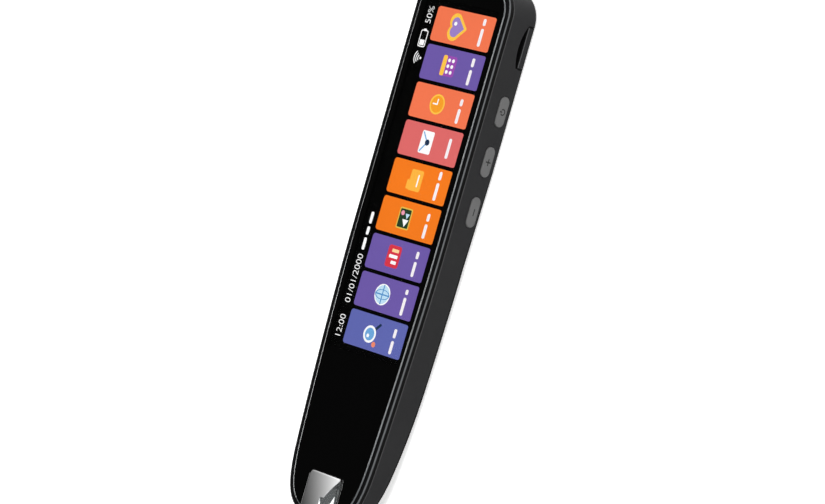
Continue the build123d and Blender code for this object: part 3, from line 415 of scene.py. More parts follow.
painted_reflection = add(tree, "ShaderNodeMath", links={0: painted_reflection.outputs[0], 1: bare.outputs[0]},
             operation="SUBTRACT", use_clamp=True)
upright = add(tree, "ShaderNodeMath", {1: 0.0, 2: side_lean}, {0: facing.outputs["Z"]},
              operation="COMPARE")
behind = add(tree, "ShaderNodeMath", {1: painted_from_y}, {0: spot.outputs["Y"]},
             operation="GREATER_THAN")
painted = add(tree, "ShaderNodeMath", links={0: upright.outputs[0], 1: behind.outputs[0]},
              operation="MULTIPLY")
opaque = add(tree, "ShaderNodeMath", links={0: painted_reflection.outputs[0], 1: painted.outputs[0]},
             operation="MAXIMUM")
clear = add(tree, "ShaderNodeMath", {0: 1.0}, {1: opaque.outputs[0]}, operation="SUBTRACT")
# Level of the painted reflection, lighter to the right and to the top.
shade = add(tree, "ShaderNodeMath", {1: reflection_across, 2: reflection_middle}, {0: spot.outputs["X"]},
            operation="MULTIPLY_ADD")
shade = add(tree, "ShaderNodeMath", {1: reflection_along}, {0: spot.outputs["Y"], 2: shade.outputs[0]},
            operation="MULTIPLY_ADD")
# Painted highlight along the top brim.
painted_brim_highlight = add(tree, "ShaderNodeMapRange",
           {"From Min": window_high.y - brim_highlight_width, "From Max": window_high.y, "To Max": brim_highlight_gain},
           {"Value": spot.outputs["Y"]})
shade = add(tree, "ShaderNodeMath", links={0: shade.outputs[0], 1: painted_brim_highlight.outputs[0]}, operation="ADD")
shade = add(tree, "ShaderNodeMath", {1: screen_gamma}, {0: shade.outputs[0]}, operation="POWER",
            use_clamp=True)
colour = add(tree, "ShaderNodeMix", {7: linear("#F4F7F8")}, {0: clear.outputs[0], 6: shade.outputs[0]},
             data_type="RGBA")
colour = add(tree, "ShaderNodeMix", {7: linear("#040404")}, {0: painted.outputs[0], 6: colour.outputs[2]},
             data_type="RGBA")
tree.links.new(colour.outputs[2], shader.inputs["Base Color"])
tree.links.new(clear.outputs[0], shader.inputs["Transmission Weight"])
let_lamps_through(tree, shader)
dress(window_with_painted_reflection, "tip_window")


# Buttons
# Three keys of grey silicone rubber with a moulded matt skin, whose grain is drawn coarser than the
# real one to show. Flanges behind the side wall hold them.
rubber_grain = 0.3 * mm
rubber, tree, shader = new_finish("grey_silicone_rubber", {
    "Base Color": linear("#5E5E5E"), "Roughness": 0.6, "Specular IOR Level": 0.3})
place = add(tree, "ShaderNodeTexCoord")
grain = add(tree, "ShaderNodeTexNoise", {"Scale": 1 / rubber_grain, "Detail": 2.0},
            {"Vector": place.outputs["Object"]})
bump = add(tree, "ShaderNodeBump", {"Strength": 0.15, "Distance": grain_depth},
           {"Height": grain.outputs["Fac"]})
tree.links.new(bump.outputs[0], shader.inputs["Normal"])
dress(rubber, "power_button", "plus_button", "minus_button")


# Screen cell
# The black face of the liquid crystal cell, which shows between the tiles. It has no gloss of its
# own, since the adhesive film wets it.
cell_black, tree, shader = new_finish("black_lcd_cell", {
    "Base Color": linear("#020202"), "Roughness": 0.6, "Specular IOR Level": 0.0})
dress(cell_black, "display_panel")


# Lit screen
# The picture of the cell behind the glass: nine coloured tiles with a sign and a name bar each.
# Every shape is a thin layer of its own on the cell, lit from inside. The glass bends the view of
# it a little to one side, which is taken back in its places.
tile_count = 9
tile_top_y = 66.8 * mm
tile_pitch = 10.56 * mm
tile_length = 9.52 * mm
tile_width = 22.42 * mm
tile_corner = 0.85 * mm
bent_by_glass = 0.27 * mm
tile_left_x = -8.71 * mm - bent_by_glass
sign_share = 0.43
name_share = 0.815
name_height = 1.05 * mm
name_corner = name_height * 0.42
layer_gap = 0.004 * mm
layer_step = 0.018 * mm
layer_thickness = 0.012 * mm
pixel_glow = 1.08
pixel_unevenness = 0.06
corner_facets = 5
coral, violet, rose, orange, indigo = "#F47851", "#6E5AA8", "#DD6A69", "#F57B1F", "#6068B0"
tile_colours = (coral, violet, coral, rose, orange, orange, violet, violet, indigo)
white, name_white, yellow, lilac, magenta = "#FFFFFF", "#F6F1F4", "#FFC84A", "#9C82C8", "#9A4FB0"
amber, navy, blue, sea_blue, sky = "#F8A02C", "#1F3350", "#6FA8DC", "#4E8FCB", "#BFE0F5"
green, pink, red, straw, gilt, cream, salmon = (
    "#24402A", "#F2A0B5", "#D9394A", "#FDB643", "#E3C04F", "#FFD9A0", "#F08A6C")
# Each sign is a list of bars (right, up, width, height, corner, colour, level, turn) and of discs
# (right, up, radius, hole, colour, level, sides, turn, squash), in millimetres from its middle. In
# order: heart, calendar, clock, envelope, folder, picture, chart, globe and magnifier.
signs = (
    (((0, 0.1, 4.4, 4.4, 0.5, yellow, 1, 45),),
     ((-1.55, 1.65, 2.25, 0, yellow, 1, 40, 0, 1), (1.55, 1.65, 2.25, 0, yellow, 1, 40, 0, 1),
      (0, 0.3, 2.15, 0, lilac, 2, 4, 0, 1), (-1.2, 1.5, 1.55, 0, lilac, 2, 40, 0, 1),
      (1.2, 1.5, 1.55, 0, lilac, 2, 40, 0, 1), (0.95, 1.65, 0.55, 0, white, 3, 24, 0, 1))),
    (((0, 0, 5.6, 5.4, 0.7, magenta, 1, 0), (0, 1.75, 5.6, 1.5, 0.5, yellow, 2, 0)),
     tuple((-1.6 + 1.6 * i, 0.1 - 1.5 * j, 0.5, 0, white, 2, 20, 0, 1) for i in range(3) for j in range(2))),
    (((0, 0.75, 0.4, 1.9, 0.15, white, 3, 0), (0.65, 0, 1.7, 0.4, 0.15, white, 3, 0)),
     ((0, 0, 2.75, 0, amber, 1, 40, 0, 1), (0, 0, 2.75, 2.3, yellow, 2, 40, 0, 1))),
    (((0, 0, 6.2, 4.5, 0.5, white, 1, 0), (-1.35, 0.75, 3.4, 0.4, 0.1, blue, 2, -38),
      (1.35, 0.75, 3.4, 0.4, 0.1, blue, 2, 38)),
     ((0, -0.4, 0.85, 0, navy, 3, 30, 0, 1),)),
    (((0, -0.2, 5.8, 4.6, 0.6, straw, 2, 0), (-1.4, 2.2, 2.6, 1.4, 0.4, straw, 1, 0),
      (0, 0.9, 5.0, 2.4, 0.3, white, 1, 0), (0, -1.0, 3.4, 0.45, 0.2, white, 3, 0)),
     ()),
    (((0, 0, 5.8, 4.8, 0.5, gilt, 1, 0), (0, 0, 5.1, 4.1, 0.3, green, 2, 0)),
     ((-0.9, -0.6, 1.35, 0, white, 3, 3, 180, 1), (0.9, -0.9, 0.95, 0, sky, 3, 3, 180, 1),
      (1.4, 1.0, 0.65, 0, pink, 3, 30, 0, 1))),
    (((0, 0, 6.0, 5.0, 0.8, red, 1, 0), (-1.6, -0.6, 0.9, 2.0, 0.2, white, 2, 0),
      (0, 0, 0.9, 3.2, 0.2, white, 2, 0), (1.6, -0.3, 0.9, 2.6, 0.2, cream, 2, 0)),
     ()),
    (((0, 0, 5.4, 0.35, 0, sea_blue, 3, 0), (0, 0, 0.35, 5.4, 0, sea_blue, 3, 0)),
     ((0, 0, 2.9, 0, sky, 1, 40, 0, 1), (0, 0, 2.9, 2.55, white, 2, 40, 0, 1),
      (0, 0, 2.75, 2.4, sea_blue, 4, 40, 90, 0.5))),
    (((1.95, -1.95, 0.8, 2.6, 0.35, navy, 1, 45),),
     ((-0.5, 0.5, 2.35, 0, blue, 1, 40, 0, 1), (-0.5, 0.5, 2.35, 1.75, white, 2, 40, 0, 1),
      (-1.0, 1.0, 0.5, 0, white, 3, 24, 0, 1), (-2.9, -1.9, 0.75, 0, salmon, 1, 24, 0, 1))),
)
name_bars = (
    ((-3.7, 1.2), (2.0, 3.9)),
    ((-3.8, 0.4), (1.2, 3.6)),
    ((-3.8, 0.2), (1.0, 2.9)),
    ((-2.9, 2.6),),
    ((-3.9, 0.9), (1.7, 4.0)),
    ((-3.8, 0.1), (0.9, 3.0)),
    ((-3.8, 0.3), (1.1, 3.1)),
    ((-3.9, 1.0), (1.8, 3.2)),
    ((-4.0, -0.4), (0.4, 2.9)),
)
lit_finishes = {}


def lit(hex_colour):
    """Pixels of one colour, a touch uneven as a back light is."""
    if hex_colour not in lit_finishes:
        made, tree, shader = new_finish("lit_pixels_" + hex_colour[1:], {
            "Emission Color": linear(hex_colour), "Base Color": linear("#000000"),
            "Specular IOR Level": 0.0})
        place = add(tree, "ShaderNodeTexCoord")
        cloud = add(tree, "ShaderNodeTexNoise", {"Scale": 1 / tile_width},
                    {"Vector": place.outputs["Object"]})
        uneven = add(tree, "ShaderNodeMapRange",
                     {"To Min": (1 - pixel_unevenness) * pixel_glow,
                      "To Max": (1 + pixel_unevenness) * pixel_glow},
                     {"Value": cloud.outputs["Fac"]})
        tree.links.new(uneven.outputs[0], shader.inputs["Emission Strength"])
        lit_finishes[hex_colour] = made
    return lit_finishes[hex_colour]


def layer(level):
    """Lowest and highest height of a layer of pixels."""
    low = screen_high.z + layer_gap + level * layer_step
    return low, low + layer_thickness


def slab(x, y, width, length, heights, finish, corner=0.0, turn=0.0):
    """Flat bar across the pen by width and along it by length, with its upright edges rounded."""
    low, high = heights
    bpy.ops.object.select_all(action="DESELECT")
    bpy.ops.mesh.primitive_cube_add(size=1, location=(x, y, (low + high) / 2),
                                    rotation=(0, 0, math.radians(turn)),
                                    scale=(width, length, high - low))
    piece = bpy.context.object
    bpy.ops.object.transform_apply(location=True, rotation=True, scale=True)
    if corner:
        bpy.ops.object.mode_set(mode="EDIT")
        bpy.ops.mesh.select_mode(type="EDGE")
        bpy.ops.mesh.select_all(action="DESELECT")
        form = bmesh.from_edit_mesh(piece.data)
        for edge in form.edges:
            edge.select_set(abs(edge.verts[0].co.z - edge.verts[1].co.z) > (high - low) / 2)
        bmesh.update_edit_mesh(piece.data)
        bpy.ops.mesh.bevel(offset=corner, segments=corner_facets, affect="EDGES")
        bpy.ops.object.mode_set(mode="OBJECT")
    piece.data.materials.append(finish)
    return piece


def disc(x, y, radius, heights, finish, sides=40, hole=0.0, turn=0.0, squash=1.0):
    """Flat disc, a ring where it has a hole, or a shape of few sides. Squash narrows it sideways."""
    low, high = heights
    bpy.ops.object.select_all(action="DESELECT")
    bpy.ops.mesh.primitive_cylinder_add(vertices=sides, radius=radius, depth=high - low,
                                        rotation=(0, 0, math.radians(turn)))
    piece = bpy.context.object
    if hole:
        bpy.ops.object.mode_set(mode="EDIT")
        bpy.ops.mesh.select_mode(type="FACE")
        bpy.ops.mesh.select_all(action="DESELECT")
        form = bmesh.from_edit_mesh(piece.data)
        for face in form.faces:
            face.select_set(abs(face.normal.z) > 0.9)
        bmesh.update_edit_mesh(piece.data)
        bpy.ops.mesh.inset(thickness=(radius - hole) * math.cos(math.pi / sides))
        bpy.ops.mesh.bridge_edge_loops()
        bpy.ops.object.mode_set(mode="OBJECT")
    piece.scale = (squash, 1, 1)
    bpy.ops.object.transform_apply(location=False, rotation=True, scale=True)
    piece.location = (x, y, (low + high) / 2)
    bpy.ops.object.transform_apply(location=True, rotation=False, scale=False)
    piece.data.materials.append(finish)
    return piece


def joined(name, pieces, body):
    """Several shapes as one piece that rides on a body."""
    bpy.ops.object.select_all(action="DESELECT")
    for piece in pieces:
        piece.select_set(True)
    bpy.context.view_layer.objects.active = pieces[0]
    if len(pieces) > 1:
        bpy.ops.object.join()
    made = bpy.context.object
    made.name = name
    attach(made, body)


for i in range(tile_count):
    middle_y = tile_top_y - i * tile_pitch - tile_length / 2
    sign_x = tile_left_x + sign_share * tile_width
    name_x = tile_left_x + name_share * tile_width
    shapes = [slab(tile_left_x + tile_width / 2, middle_y, tile_width, tile_length, layer(0),
                   lit(tile_colours[i]), tile_corner)]
    bars, discs = signs[i]
    for right, up, width, height, corner, colour, level, turn in bars:
        shapes.append(slab(sign_x - up * mm, middle_y + right * mm, height * mm, width * mm, layer(level),
                           lit(colour), corner * mm, turn))
    for right, up, radius, hole, colour, level, sides, turn, squash in discs:
        shapes.append(disc(sign_x - up * mm, middle_y + right * mm, radius * mm, layer(level),
                           lit(colour), sides, hole * mm, turn, squash))
    for start, end in name_bars[i]:
        shapes.append(slab(name_x, middle_y + (start + end) / 2 * mm, name_height, (end - start) * mm,
                           layer(1), lit(name_white), name_corner))
    joined(f"screen_tile_{i + 1}", shapes, "pen_body")


# Status row
# White pixels beside the tiles, on the same cell: neutral figures for the time, the date and the
# charge, three plain bars, a wireless fan and a battery.
row_x = -11.1 * mm - bent_by_glass
figure_size = 3.0 * mm
figure_thinner = 0.03 * mm
time_y = -26.5 * mm
date_y = -16.7 * mm
charge_y = 61.3 * mm
day_bars = ((-1.9, 1.5), (2.3, 4.6), (5.4, 8.7))


def digits(text, x, y, size, heights, finish):
    """Plain figures that read along the pen, as a mesh."""
    bpy.ops.object.select_all(action="DESELECT")
    bpy.ops.object.text_add()
    figures = bpy.context.object
    figures.data.body = text
    figures.data.size = size
    figures.data.align_y = "CENTER"
    figures.data.offset = -figure_thinner
    figures.data.extrude = (heights[1] - heights[0]) / 2
    bpy.ops.object.convert(target="MESH")
    figures = bpy.context.object
    figures.location = (x, y, (heights[0] + heights[1]) / 2)
    figures.rotation_euler = (0, 0, math.radians(90))
    bpy.ops.object.transform_apply(location=True, rotation=True, scale=True)
    figures.data.materials.append(finish)
    return figures


shapes = [digits("12:00", row_x, time_y, figure_size, layer(0), lit(white))]
shapes.append(digits("01/01/2000", row_x, date_y, figure_size, layer(0), lit(white)))
for start, end in day_bars:
    shapes.append(slab(row_x, (start + end) / 2 * mm, name_height, (end - start) * mm, layer(0),
                       lit(white), name_corner))
shapes.append(digits("50%", row_x, charge_y, figure_size, layer(0), lit(white)))
joined("screen_figures", shapes, "pen_body")


cut_threshold = 1e-7


def cut_away(piece, place, direction):
    """Cuts off what lies beyond a place in a direction, and closes the cut."""
    bpy.ops.object.select_all(action="DESELECT")
    piece.select_set(True)
    bpy.context.view_layer.objects.active = piece
    bpy.ops.object.mode_set(mode="EDIT")
    bpy.ops.mesh.select_all(action="SELECT")
    bpy.ops.mesh.bisect(plane_co=place, plane_no=direction, clear_outer=True, use_fill=True,
                        threshold=cut_threshold)
    bpy.ops.object.mode_set(mode="OBJECT")
    return piece


fan_x = row_x + 0.95 * mm
fan_y = 51.9 * mm
fan_dot = 0.34 * mm
fan_line = 0.27
fan_reaches = (1.1, 1.8, 2.5)
fan_half_angle = math.radians(45)
fan_dot_sides = 24
fan_ring_sides = 48
shapes = [disc(fan_x, fan_y, fan_dot, layer(0), lit(white), fan_dot_sides)]
for reach in fan_reaches:
    ring = disc(fan_x, fan_y, reach * mm, layer(0), lit(white), fan_ring_sides, (reach - fan_line) * mm)
    for side in (-1, 1):
        ring = cut_away(ring, (fan_x, fan_y, 0),
                        (math.sin(fan_half_angle), side * math.cos(fan_half_angle), 0))
    shapes.append(ring)
joined("screen_wireless_sign", shapes, "pen_body")

# Each bar of the battery: its place along the row from the sign's middle, its width across the row,
# its length, corner, layer and finish
battery_x = row_x - 0.15 * mm
battery_y = 57.2 * mm
battery_bars = (
    (0.0, 2.75, 4.7, 0.5, 0, lit(white)),
    (0.0, 2.2, 4.15, 0.3, 1, cell_black),
    (-1.1, 1.7, 1.5, 0.1, 2, lit(white)),
    (2.5, 1.0, 0.4, 0.12, 0, lit(white)),
)
joined("screen_battery_sign",
       [slab(battery_x, battery_y + up * mm, width * mm, length * mm, layer(level), finish, corner * mm)
        for up, width, length, corner, level, finish in battery_bars],
       "pen_body")


# Signs on the buttons
# Power, plus and minus, printed in dark grey ink a few microns thick on the faces of the keys.
ink, tree, shader = new_finish("dark_grey_ink", {"Base Color": linear("#161616"), "Roughness": 0.7})
ink_heights = (-0.02 * mm, 0.004 * mm)
sign_line = 0.38 * mm
sign_reach = 0.95 * mm
sign_opening = 0.62
power_bar_share = 0.7


def print_on(button, shapes):
    """Turns shapes drawn flat, in the pen's length and height, up onto the outer face of a button."""
    face_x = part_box(button)[1].x
    turned = Matrix(((0, 0, 1, face_x), (0, 1, 0, 0), (-1, 0, 0, 0), (0, 0, 0, 1)))
    for shape in shapes:
        shape.data.transform(turned)
    return shapes


for kind in ("power", "plus", "minus"):
    button = kind + "_button"
    low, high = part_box(button)
    across, along = -(low.z + high.z) / 2, (low.y + high.y) / 2
    if kind == "power":
        ring = disc(across, along, sign_reach, ink_heights, ink, 40, sign_reach - sign_line)
        ring = cut_away(ring, (across - sign_opening * sign_reach, along, 0), (-1, 0, 0))
        bar = slab(across - sign_reach * power_bar_share, along, sign_reach, sign_line, ink_heights, ink)
        shapes = [ring, bar]
    else:
        shapes = [slab(across, along, sign_line, 2 * sign_reach, ink_heights, ink, sign_line / 3)]
        if kind == "plus":
            shapes.append(slab(across, along, 2 * sign_reach, sign_line, ink_heights, ink, sign_line / 3))
    joined(kind + "_sign", print_on(button, shapes), kind + "_key")


# Plate and light points under the window
# A plate of satin ABS in two greys closes the scan head under the window, with two fine mould lines
# on it. Two white points of milky acrylic carry the light of the lamps forward, and show where the
# line of text will be read.
cloud_size = 2.0 * mm
guide_white, tree, shader = new_finish("milky_acrylic", {"Roughness": 0.25})
place = add(tree, "ShaderNodeTexCoord")
cloud = add(tree, "ShaderNodeTexNoise", {"Scale": 1 / cloud_size}, {"Vector": place.outputs["Object"]})
colour = add(tree, "ShaderNodeMix", {6: linear("#F4F5F5"), 7: linear("#FFFFFF")},
             {0: cloud.outputs["Fac"]}, data_type="RGBA")
tree.links.new(colour.outputs[2], shader.inputs["Base Color"])

satin_size = 1.5 * mm
satins = []
for name, dark, light in (("grey_satin_abs", "#353636", "#3B3C3C"),
                          ("dark_satin_abs", "#0F0F10", "#151616")):
    made, tree, shader = new_finish(name, {"Roughness": 0.5})
    place = add(tree, "ShaderNodeTexCoord")
    cloud = add(tree, "ShaderNodeTexNoise", {"Scale": 1 / satin_size}, {"Vector": place.outputs["Object"]})
    colour = add(tree, "ShaderNodeMix", {6: linear(dark), 7: linear(light)}, {0: cloud.outputs["Fac"]},
                 data_type="RGBA")
    tree.links.new(colour.outputs[2], shader.inputs["Base Color"])
    satins.append(made)
grey_satin, dark_satin = satins

plate_width = 11.2 * mm
plate_start_y = -62.6 * mm
plate_step_y = -65.3 * mm
plate_end_y = -71.2 * mm
plate_low = 9.75 * mm
plate_top = 10.3 * mm
long_line_x, long_line_y, long_line_turn = 4.25 * mm, -66.1 * mm, 12.7
long_line_width, long_line_length, long_line_top = 0.22 * mm, 5.8 * mm, 10.33 * mm
cross_line_x, cross_line_y, cross_line_turn = 3.4 * mm, -65.25 * mm, 8
cross_line_width, cross_line_length, cross_line_top = 3.2 * mm, 0.25 * mm, 10.34 * mm
shapes = [
    slab(0, (plate_end_y + plate_step_y) / 2, plate_width, plate_step_y - plate_end_y,
         (plate_low, plate_top), grey_satin),
    slab(0, (plate_start_y + plate_step_y) / 2, plate_width, plate_start_y - plate_step_y,
         (plate_low, plate_top), dark_satin),
    slab(long_line_x, long_line_y, long_line_width, long_line_length,
         (plate_top, long_line_top), dark_satin, 0, long_line_turn),
    slab(cross_line_x, cross_line_y, cross_line_width, cross_line_length,
         (plate_top, cross_line_top), grey_satin, 0, cross_line_turn)]
joined("window_plate", shapes, "pen_body")

point_heights = (plate_top, 10.4 * mm)
# Each point is a narrow triangle: its middle across and along the pen, its reach, turn and narrowing
light_points = (
    (-1.05 * mm, -70.21 * mm, 1.73 * mm, 8, 0.4),
    (3.75 * mm, -69.68 * mm, 2.65 * mm, -7, 0.5),
)
shapes = [disc(x, y, reach, point_heights, guide_white, 3, 0, turn, squash)
          for x, y, reach, turn, squash in light_points]
joined("window_light_points", shapes, "pen_body")


# Metal parts inside
# Stamped and drawn steel, a die-cast frame and plated screws. Rolling leaves fine streaks, casting a
# coarser skin, and the foil of the cell is creased where it is folded.
relief_depth = 0.03 * mm
evenly = (1, 1, 1)
in_streaks = (1, 0.04, 1)


def grained(name, dark, light, size, roughness, bump, metal=0.0, stretch=evenly):
    """A finish that varies between two colours and two roughnesses over a grain of one size."""
    made, tree, shader = new_finish(name, {"Metallic": metal})
    place = add(tree, "ShaderNodeTexCoord")
    turned = add(tree, "ShaderNodeMapping", {"Scale": stretch}, {"Vector": place.outputs["Object"]})
    grain = add(tree, "ShaderNodeTexNoise", {"Scale": 1 / size, "Detail": 3.0},
                {"Vector": turned.outputs[0]})
    colour = add(tree, "ShaderNodeMix", {6: linear(dark), 7: linear(light)}, {0: grain.outputs["Fac"]},
                 data_type="RGBA")
    rough = add(tree, "ShaderNodeMapRange", {"To Min": roughness[0], "To Max": roughness[1]},
                {"Value": grain.outputs["Fac"]})
    relief = add(tree, "ShaderNodeBump", {"Strength": bump, "Distance": relief_depth},
                 {"Height": grain.outputs["Fac"]})
    tree.links.new(colour.outputs[2], shader.inputs["Base Color"])
    tree.links.new(rough.outputs[0], shader.inputs["Roughness"])
    tree.links.new(relief.outputs[0], shader.inputs["Normal"])
    return made


# Each metal: two colours, grain in millimetres, two roughnesses, relief, metallic, stretch, pieces
metals = {
    "stamped_stainless_steel": ("#A4A6A8", "#BFC1C2", 0.4, (0.25, 0.4), 0.1, 1.0, in_streaks,
                                ("backlight_tray", "key_bracket", "microphone")),
    "tinned_nickel_silver": ("#B9B6AC", "#D0CDC4", 1.2, (0.22, 0.36), 0.05, 1.0, evenly,
                             ("shield_can",)),
    "drawn_stainless_steel": ("#B2B4B5", "#CFD1D2", 0.3, (0.2, 0.32), 0.05, 1.0, in_streaks,
                              ("usb_shell",)),
    "plated_screw_steel": ("#6F7173", "#97999B", 0.3, (0.25, 0.4), 0.1, 1.0, evenly,
                           ("mid_frame_screws", "board_screws", "usb_board_screws")),
    "die_cast_magnesium": ("#8C8E8F", "#A6A8A9", 0.8, (0.45, 0.6), 0.4, 0.7, evenly, ("mid_frame",)),
    "aluminium_pouch_foil": ("#B3B5B8", "#D2D4D6", 3.0, (0.22, 0.4), 0.5, 1.0, evenly, ("battery",)),
}
for name, (dark, light, size, roughness, bump, metal, stretch, pieces) in metals.items():
    dress(grained(name, dark, light, size * mm, roughness, bump, metal, stretch), *pieces)


# Boards and flexible leads
# Glass-fibre boards under green solder mask, with the copper tracks showing as lighter lines, and
# amber polyimide leads with their tracks in line.
# A wave pattern of scale 1 repeats at this length, so its scale is this over the real pitch
wave_length = math.pi / 10
board_pitch = 0.8 * mm
lead_pitch = 0.5 * mm
track_depth = 0.02 * mm


def tracked(name, ground, track, pitch, roughness):
    """A board or lead with tracks of one pitch that show through its coat."""
    made, tree, shader = new_finish(name, {"Roughness": roughness})
    place = add(tree, "ShaderNodeTexCoord")
    waves = add(tree, "ShaderNodeTexWave",
                {"Scale": wave_length / pitch, "Distortion": 1.5, "Detail Scale": 0.6},
                {"Vector": place.outputs["Object"]}, bands_direction="X")
    lines = add(tree, "ShaderNodeMapRange", {"From Min": 0.55, "From Max": 0.65},
                {"Value": waves.outputs["Fac"]})
    colour = add(tree, "ShaderNodeMix", {6: linear(ground), 7: linear(track)}, {0: lines.outputs[0]},
                 data_type="RGBA")
    relief = add(tree, "ShaderNodeBump", {"Strength": 0.3, "Distance": track_depth},
                 {"Height": lines.outputs[0]})
    tree.links.new(colour.outputs[2], shader.inputs["Base Color"])
    tree.links.new(relief.outputs[0], shader.inputs["Normal"])
    return made


dress(tracked("green_solder_mask", "#0F4A2D", "#1C6A43", board_pitch, 0.3),
      "main_board", "usb_board", "camera_board", "protection_board", "led_board")
dress(tracked("amber_polyimide", "#A8641E", "#C98A3A", lead_pitch, 0.35),
      "display_flex", "key_flex", "battery_flex", "camera_flex", "wifi_antenna")


# Plastic, rubber and film inside
# Dark moulded plastics with a mould grain of 0.1 mm, drawn coarser to show, the foam and tape of the
# joints, the cone's film, the white reflector round the light path and the lamps' ceramic.
mould_grain = 0.25
switches = ("tip_switch", "power_switch", "plus_switch", "minus_switch")
# Each of these: two colours, grain in millimetres, two roughnesses, relief, pieces
plastics = {
    "black_epoxy": ("#161617", "#202122", mould_grain, (0.45, 0.6), 0.2,
                    ("processor", "memory_chip", "image_sensor")),
    "black_liquid_crystal_polymer": ("#1B1B1C", "#262627", mould_grain, (0.4, 0.55), 0.2,
                                     ("board_connectors", "usb_tongue") + switches),
    "black_glass_filled_nylon": ("#191919", "#242424", mould_grain, (0.5, 0.65), 0.3,
                                 ("speaker_frame", "camera_holder", "lens_barrel")),
    "grey_acetal": ("#8A8B8C", "#999A9B", mould_grain, (0.3, 0.4), 0.1,
                    tuple(switch + "_plunger" for switch in switches)),
    "black_polyurethane_foam": ("#161616", "#2A2A2A", 0.2, (0.85, 0.95), 0.8,
                                ("window_gasket", "speaker_gasket")),
    "black_foam_tape": ("#1E1E1F", "#2B2B2C", 0.3, (0.6, 0.75), 0.3, ("glass_adhesive",)),
    "clear_backed_tape": ("#C9CAC4", "#DDDED8", 2.0, (0.35, 0.5), 0.1, ("battery_tape",)),
    "pressed_polyester_film": ("#1F1F20", "#303031", 0.6, (0.3, 0.45), 0.2, ("speaker_cone",)),
    "white_reflective_polycarbonate": ("#E6E6E3", "#F2F2F0", mould_grain, (0.35, 0.5), 0.1,
                                       ("light_chamber",)),
    "white_lamp_ceramic_and_phosphor": ("#EFE7C0", "#FBF8EC", 0.5, (0.35, 0.5), 0.1, ("scan_leds",)),
}
for name, (dark, light, size, roughness, bump, pieces) in plastics.items():
    dress(grained(name, dark, light, size * mm, roughness, bump), *pieces)


# Speaker mesh
# Woven black polyester over the sound holes, with a thread every 0.3 mm both ways, so that it looks
# like a fine grid with dark pores.
mesh_pitch = 0.3 * mm
thread_depth = 0.05 * mm
mesh, tree, shader = new_finish("woven_polyester_mesh", {"Roughness": 0.8})
place = add(tree, "ShaderNodeTexCoord")
threads = [add(tree, "ShaderNodeTexWave", {"Scale": wave_length / mesh_pitch},
               {"Vector": place.outputs["Object"]}, bands_direction=way) for way in ("X", "Y")]
weave = add(tree, "ShaderNodeMath", links={0: threads[0].outputs["Fac"], 1: threads[1].outputs["Fac"]},
            operation="MAXIMUM")
colour = add(tree, "ShaderNodeMix", {6: linear("#0A0A0A"), 7: linear("#2C2C2D")}, {0: weave.outputs[0]},
             data_type="RGBA")
relief = add(tree, "ShaderNodeBump", {"Strength": 0.8, "Distance": thread_depth},
             {"Height": weave.outputs[0]})
tree.links.new(colour.outputs[2], shader.inputs["Base Color"])
tree.links.new(relief.outputs[0], shader.inputs["Normal"])
dress(mesh, "speaker_mesh")


# Lens of the camera
# Ground optical glass in the lens barrel, with a coat against glare, whose violet reflection is
# painted into its colour where it is seen from the side.
lens_coat, tree, shader = new_finish("coated_optical_glass", {"Roughness": 0.04, "IOR": 1.6})
# Painted reflection: the coat's violet is mixed into the colour where the glass is seen edge-on.
facing = add(tree, "ShaderNodeLayerWeight", {"Blend": 0.4})
colour = add(tree, "ShaderNodeMix", {6: linear("#0B0B16"), 7: linear("#3A2C66")},
             {0: facing.outputs["Facing"]}, data_type="RGBA")
tree.links.new(colour.outputs[2], shader.inputs["Base Color"])
dress(lens_coat, "lens")


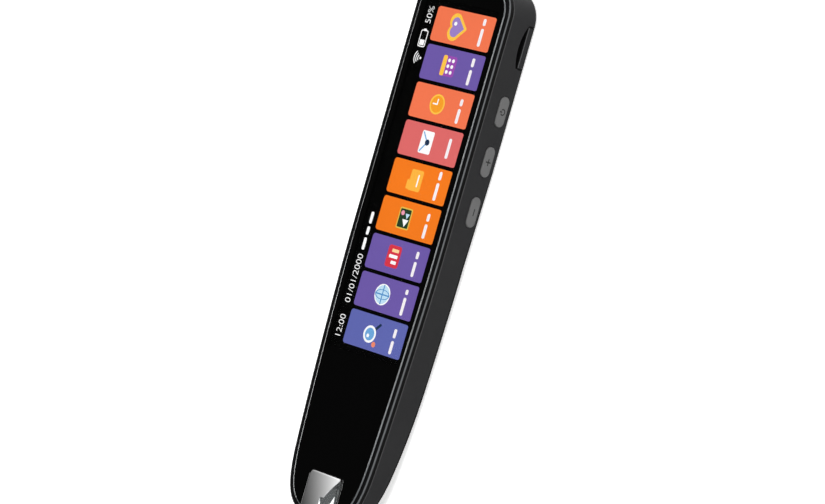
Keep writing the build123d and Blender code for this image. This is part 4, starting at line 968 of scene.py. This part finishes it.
# Contacts of the charging socket
# Twelve gold-plated strips on each face of the tongue, moulded in flush but for their plating. They
# show as fine gold stripes deep in the socket.
contact_count = 12
contact_pitch = 0.5 * mm
contact_width = 0.26 * mm
contact_corner = contact_width / 4
contact_step = 0.02 * mm
contact_length = 3.4 * mm
contact_set_back = 0.5 * mm
plating_grain = 0.4 * mm
tongue_low, tongue_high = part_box("usb_tongue")
contact_y = tongue_high.y - contact_set_back - contact_length / 2
gold = grained("gold_plating", "#C9A24B", "#E0BD6A", plating_grain, (0.2, 0.3), 0.05, 1.0, in_streaks)
shapes = []
for face in (tongue_high.z, tongue_low.z):
    for i in range(contact_count):
        contact_x = (i - (contact_count - 1) / 2) * contact_pitch
        shapes.append(slab(contact_x, contact_y, contact_width, contact_length,
                           (face - contact_step, face + contact_step), gold, contact_corner))
joined("usb_contacts", shapes, "pen_body")


# Springs of the nose
# Two coils of drawn spring steel between the arms of the nose and the light board. Each stands for
# the CAD coil.
spring_wire = 0.15 * mm
spring_wire_sides = 8
spring_turns = 3
spring_steps = 24
wire_grain = 0.2 * mm
spring_steel = grained("drawn_spring_steel", "#A09F9A", "#C2C1BC", wire_grain, (0.2, 0.3), 0.05, 1.0)
for node in ("left_nose_spring", "right_nose_spring"):
    low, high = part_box(node)
    middle = (low + high) / 2
    spring_height = high.y - low.y - 2 * spring_wire
    bpy.ops.object.select_all(action="DESELECT")
    bpy.ops.mesh.primitive_circle_add(vertices=spring_wire_sides, radius=spring_wire,
                                      location=((high.x - low.x) / 2 - spring_wire, 0, 0))
    coil = bpy.context.object
    bpy.ops.object.transform_apply(location=True)
    winding = coil.modifiers.new("winding", "SCREW")
    winding.axis = "Y"
    winding.iterations = spring_turns
    winding.screw_offset = spring_height / spring_turns
    winding.steps = spring_steps
    bpy.ops.object.modifier_apply(modifier="winding")
    bpy.ops.object.mode_set(mode="EDIT")
    bpy.ops.mesh.select_all(action="SELECT")
    bpy.ops.mesh.fill_holes(sides=spring_wire_sides)
    bpy.ops.mesh.normals_make_consistent(inside=False)
    bpy.ops.object.mode_set(mode="OBJECT")
    coil.location = (middle.x, low.y + spring_wire, middle.z)
    bpy.ops.object.transform_apply(location=True)
    coil.name = node.replace("nose", "return")
    coil.data.materials.append(spring_steel)
    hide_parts(node)
    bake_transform(coil)


size = {"cad": [list(cad_low), list(cad_high)], "visual": [list(corner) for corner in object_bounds()]}
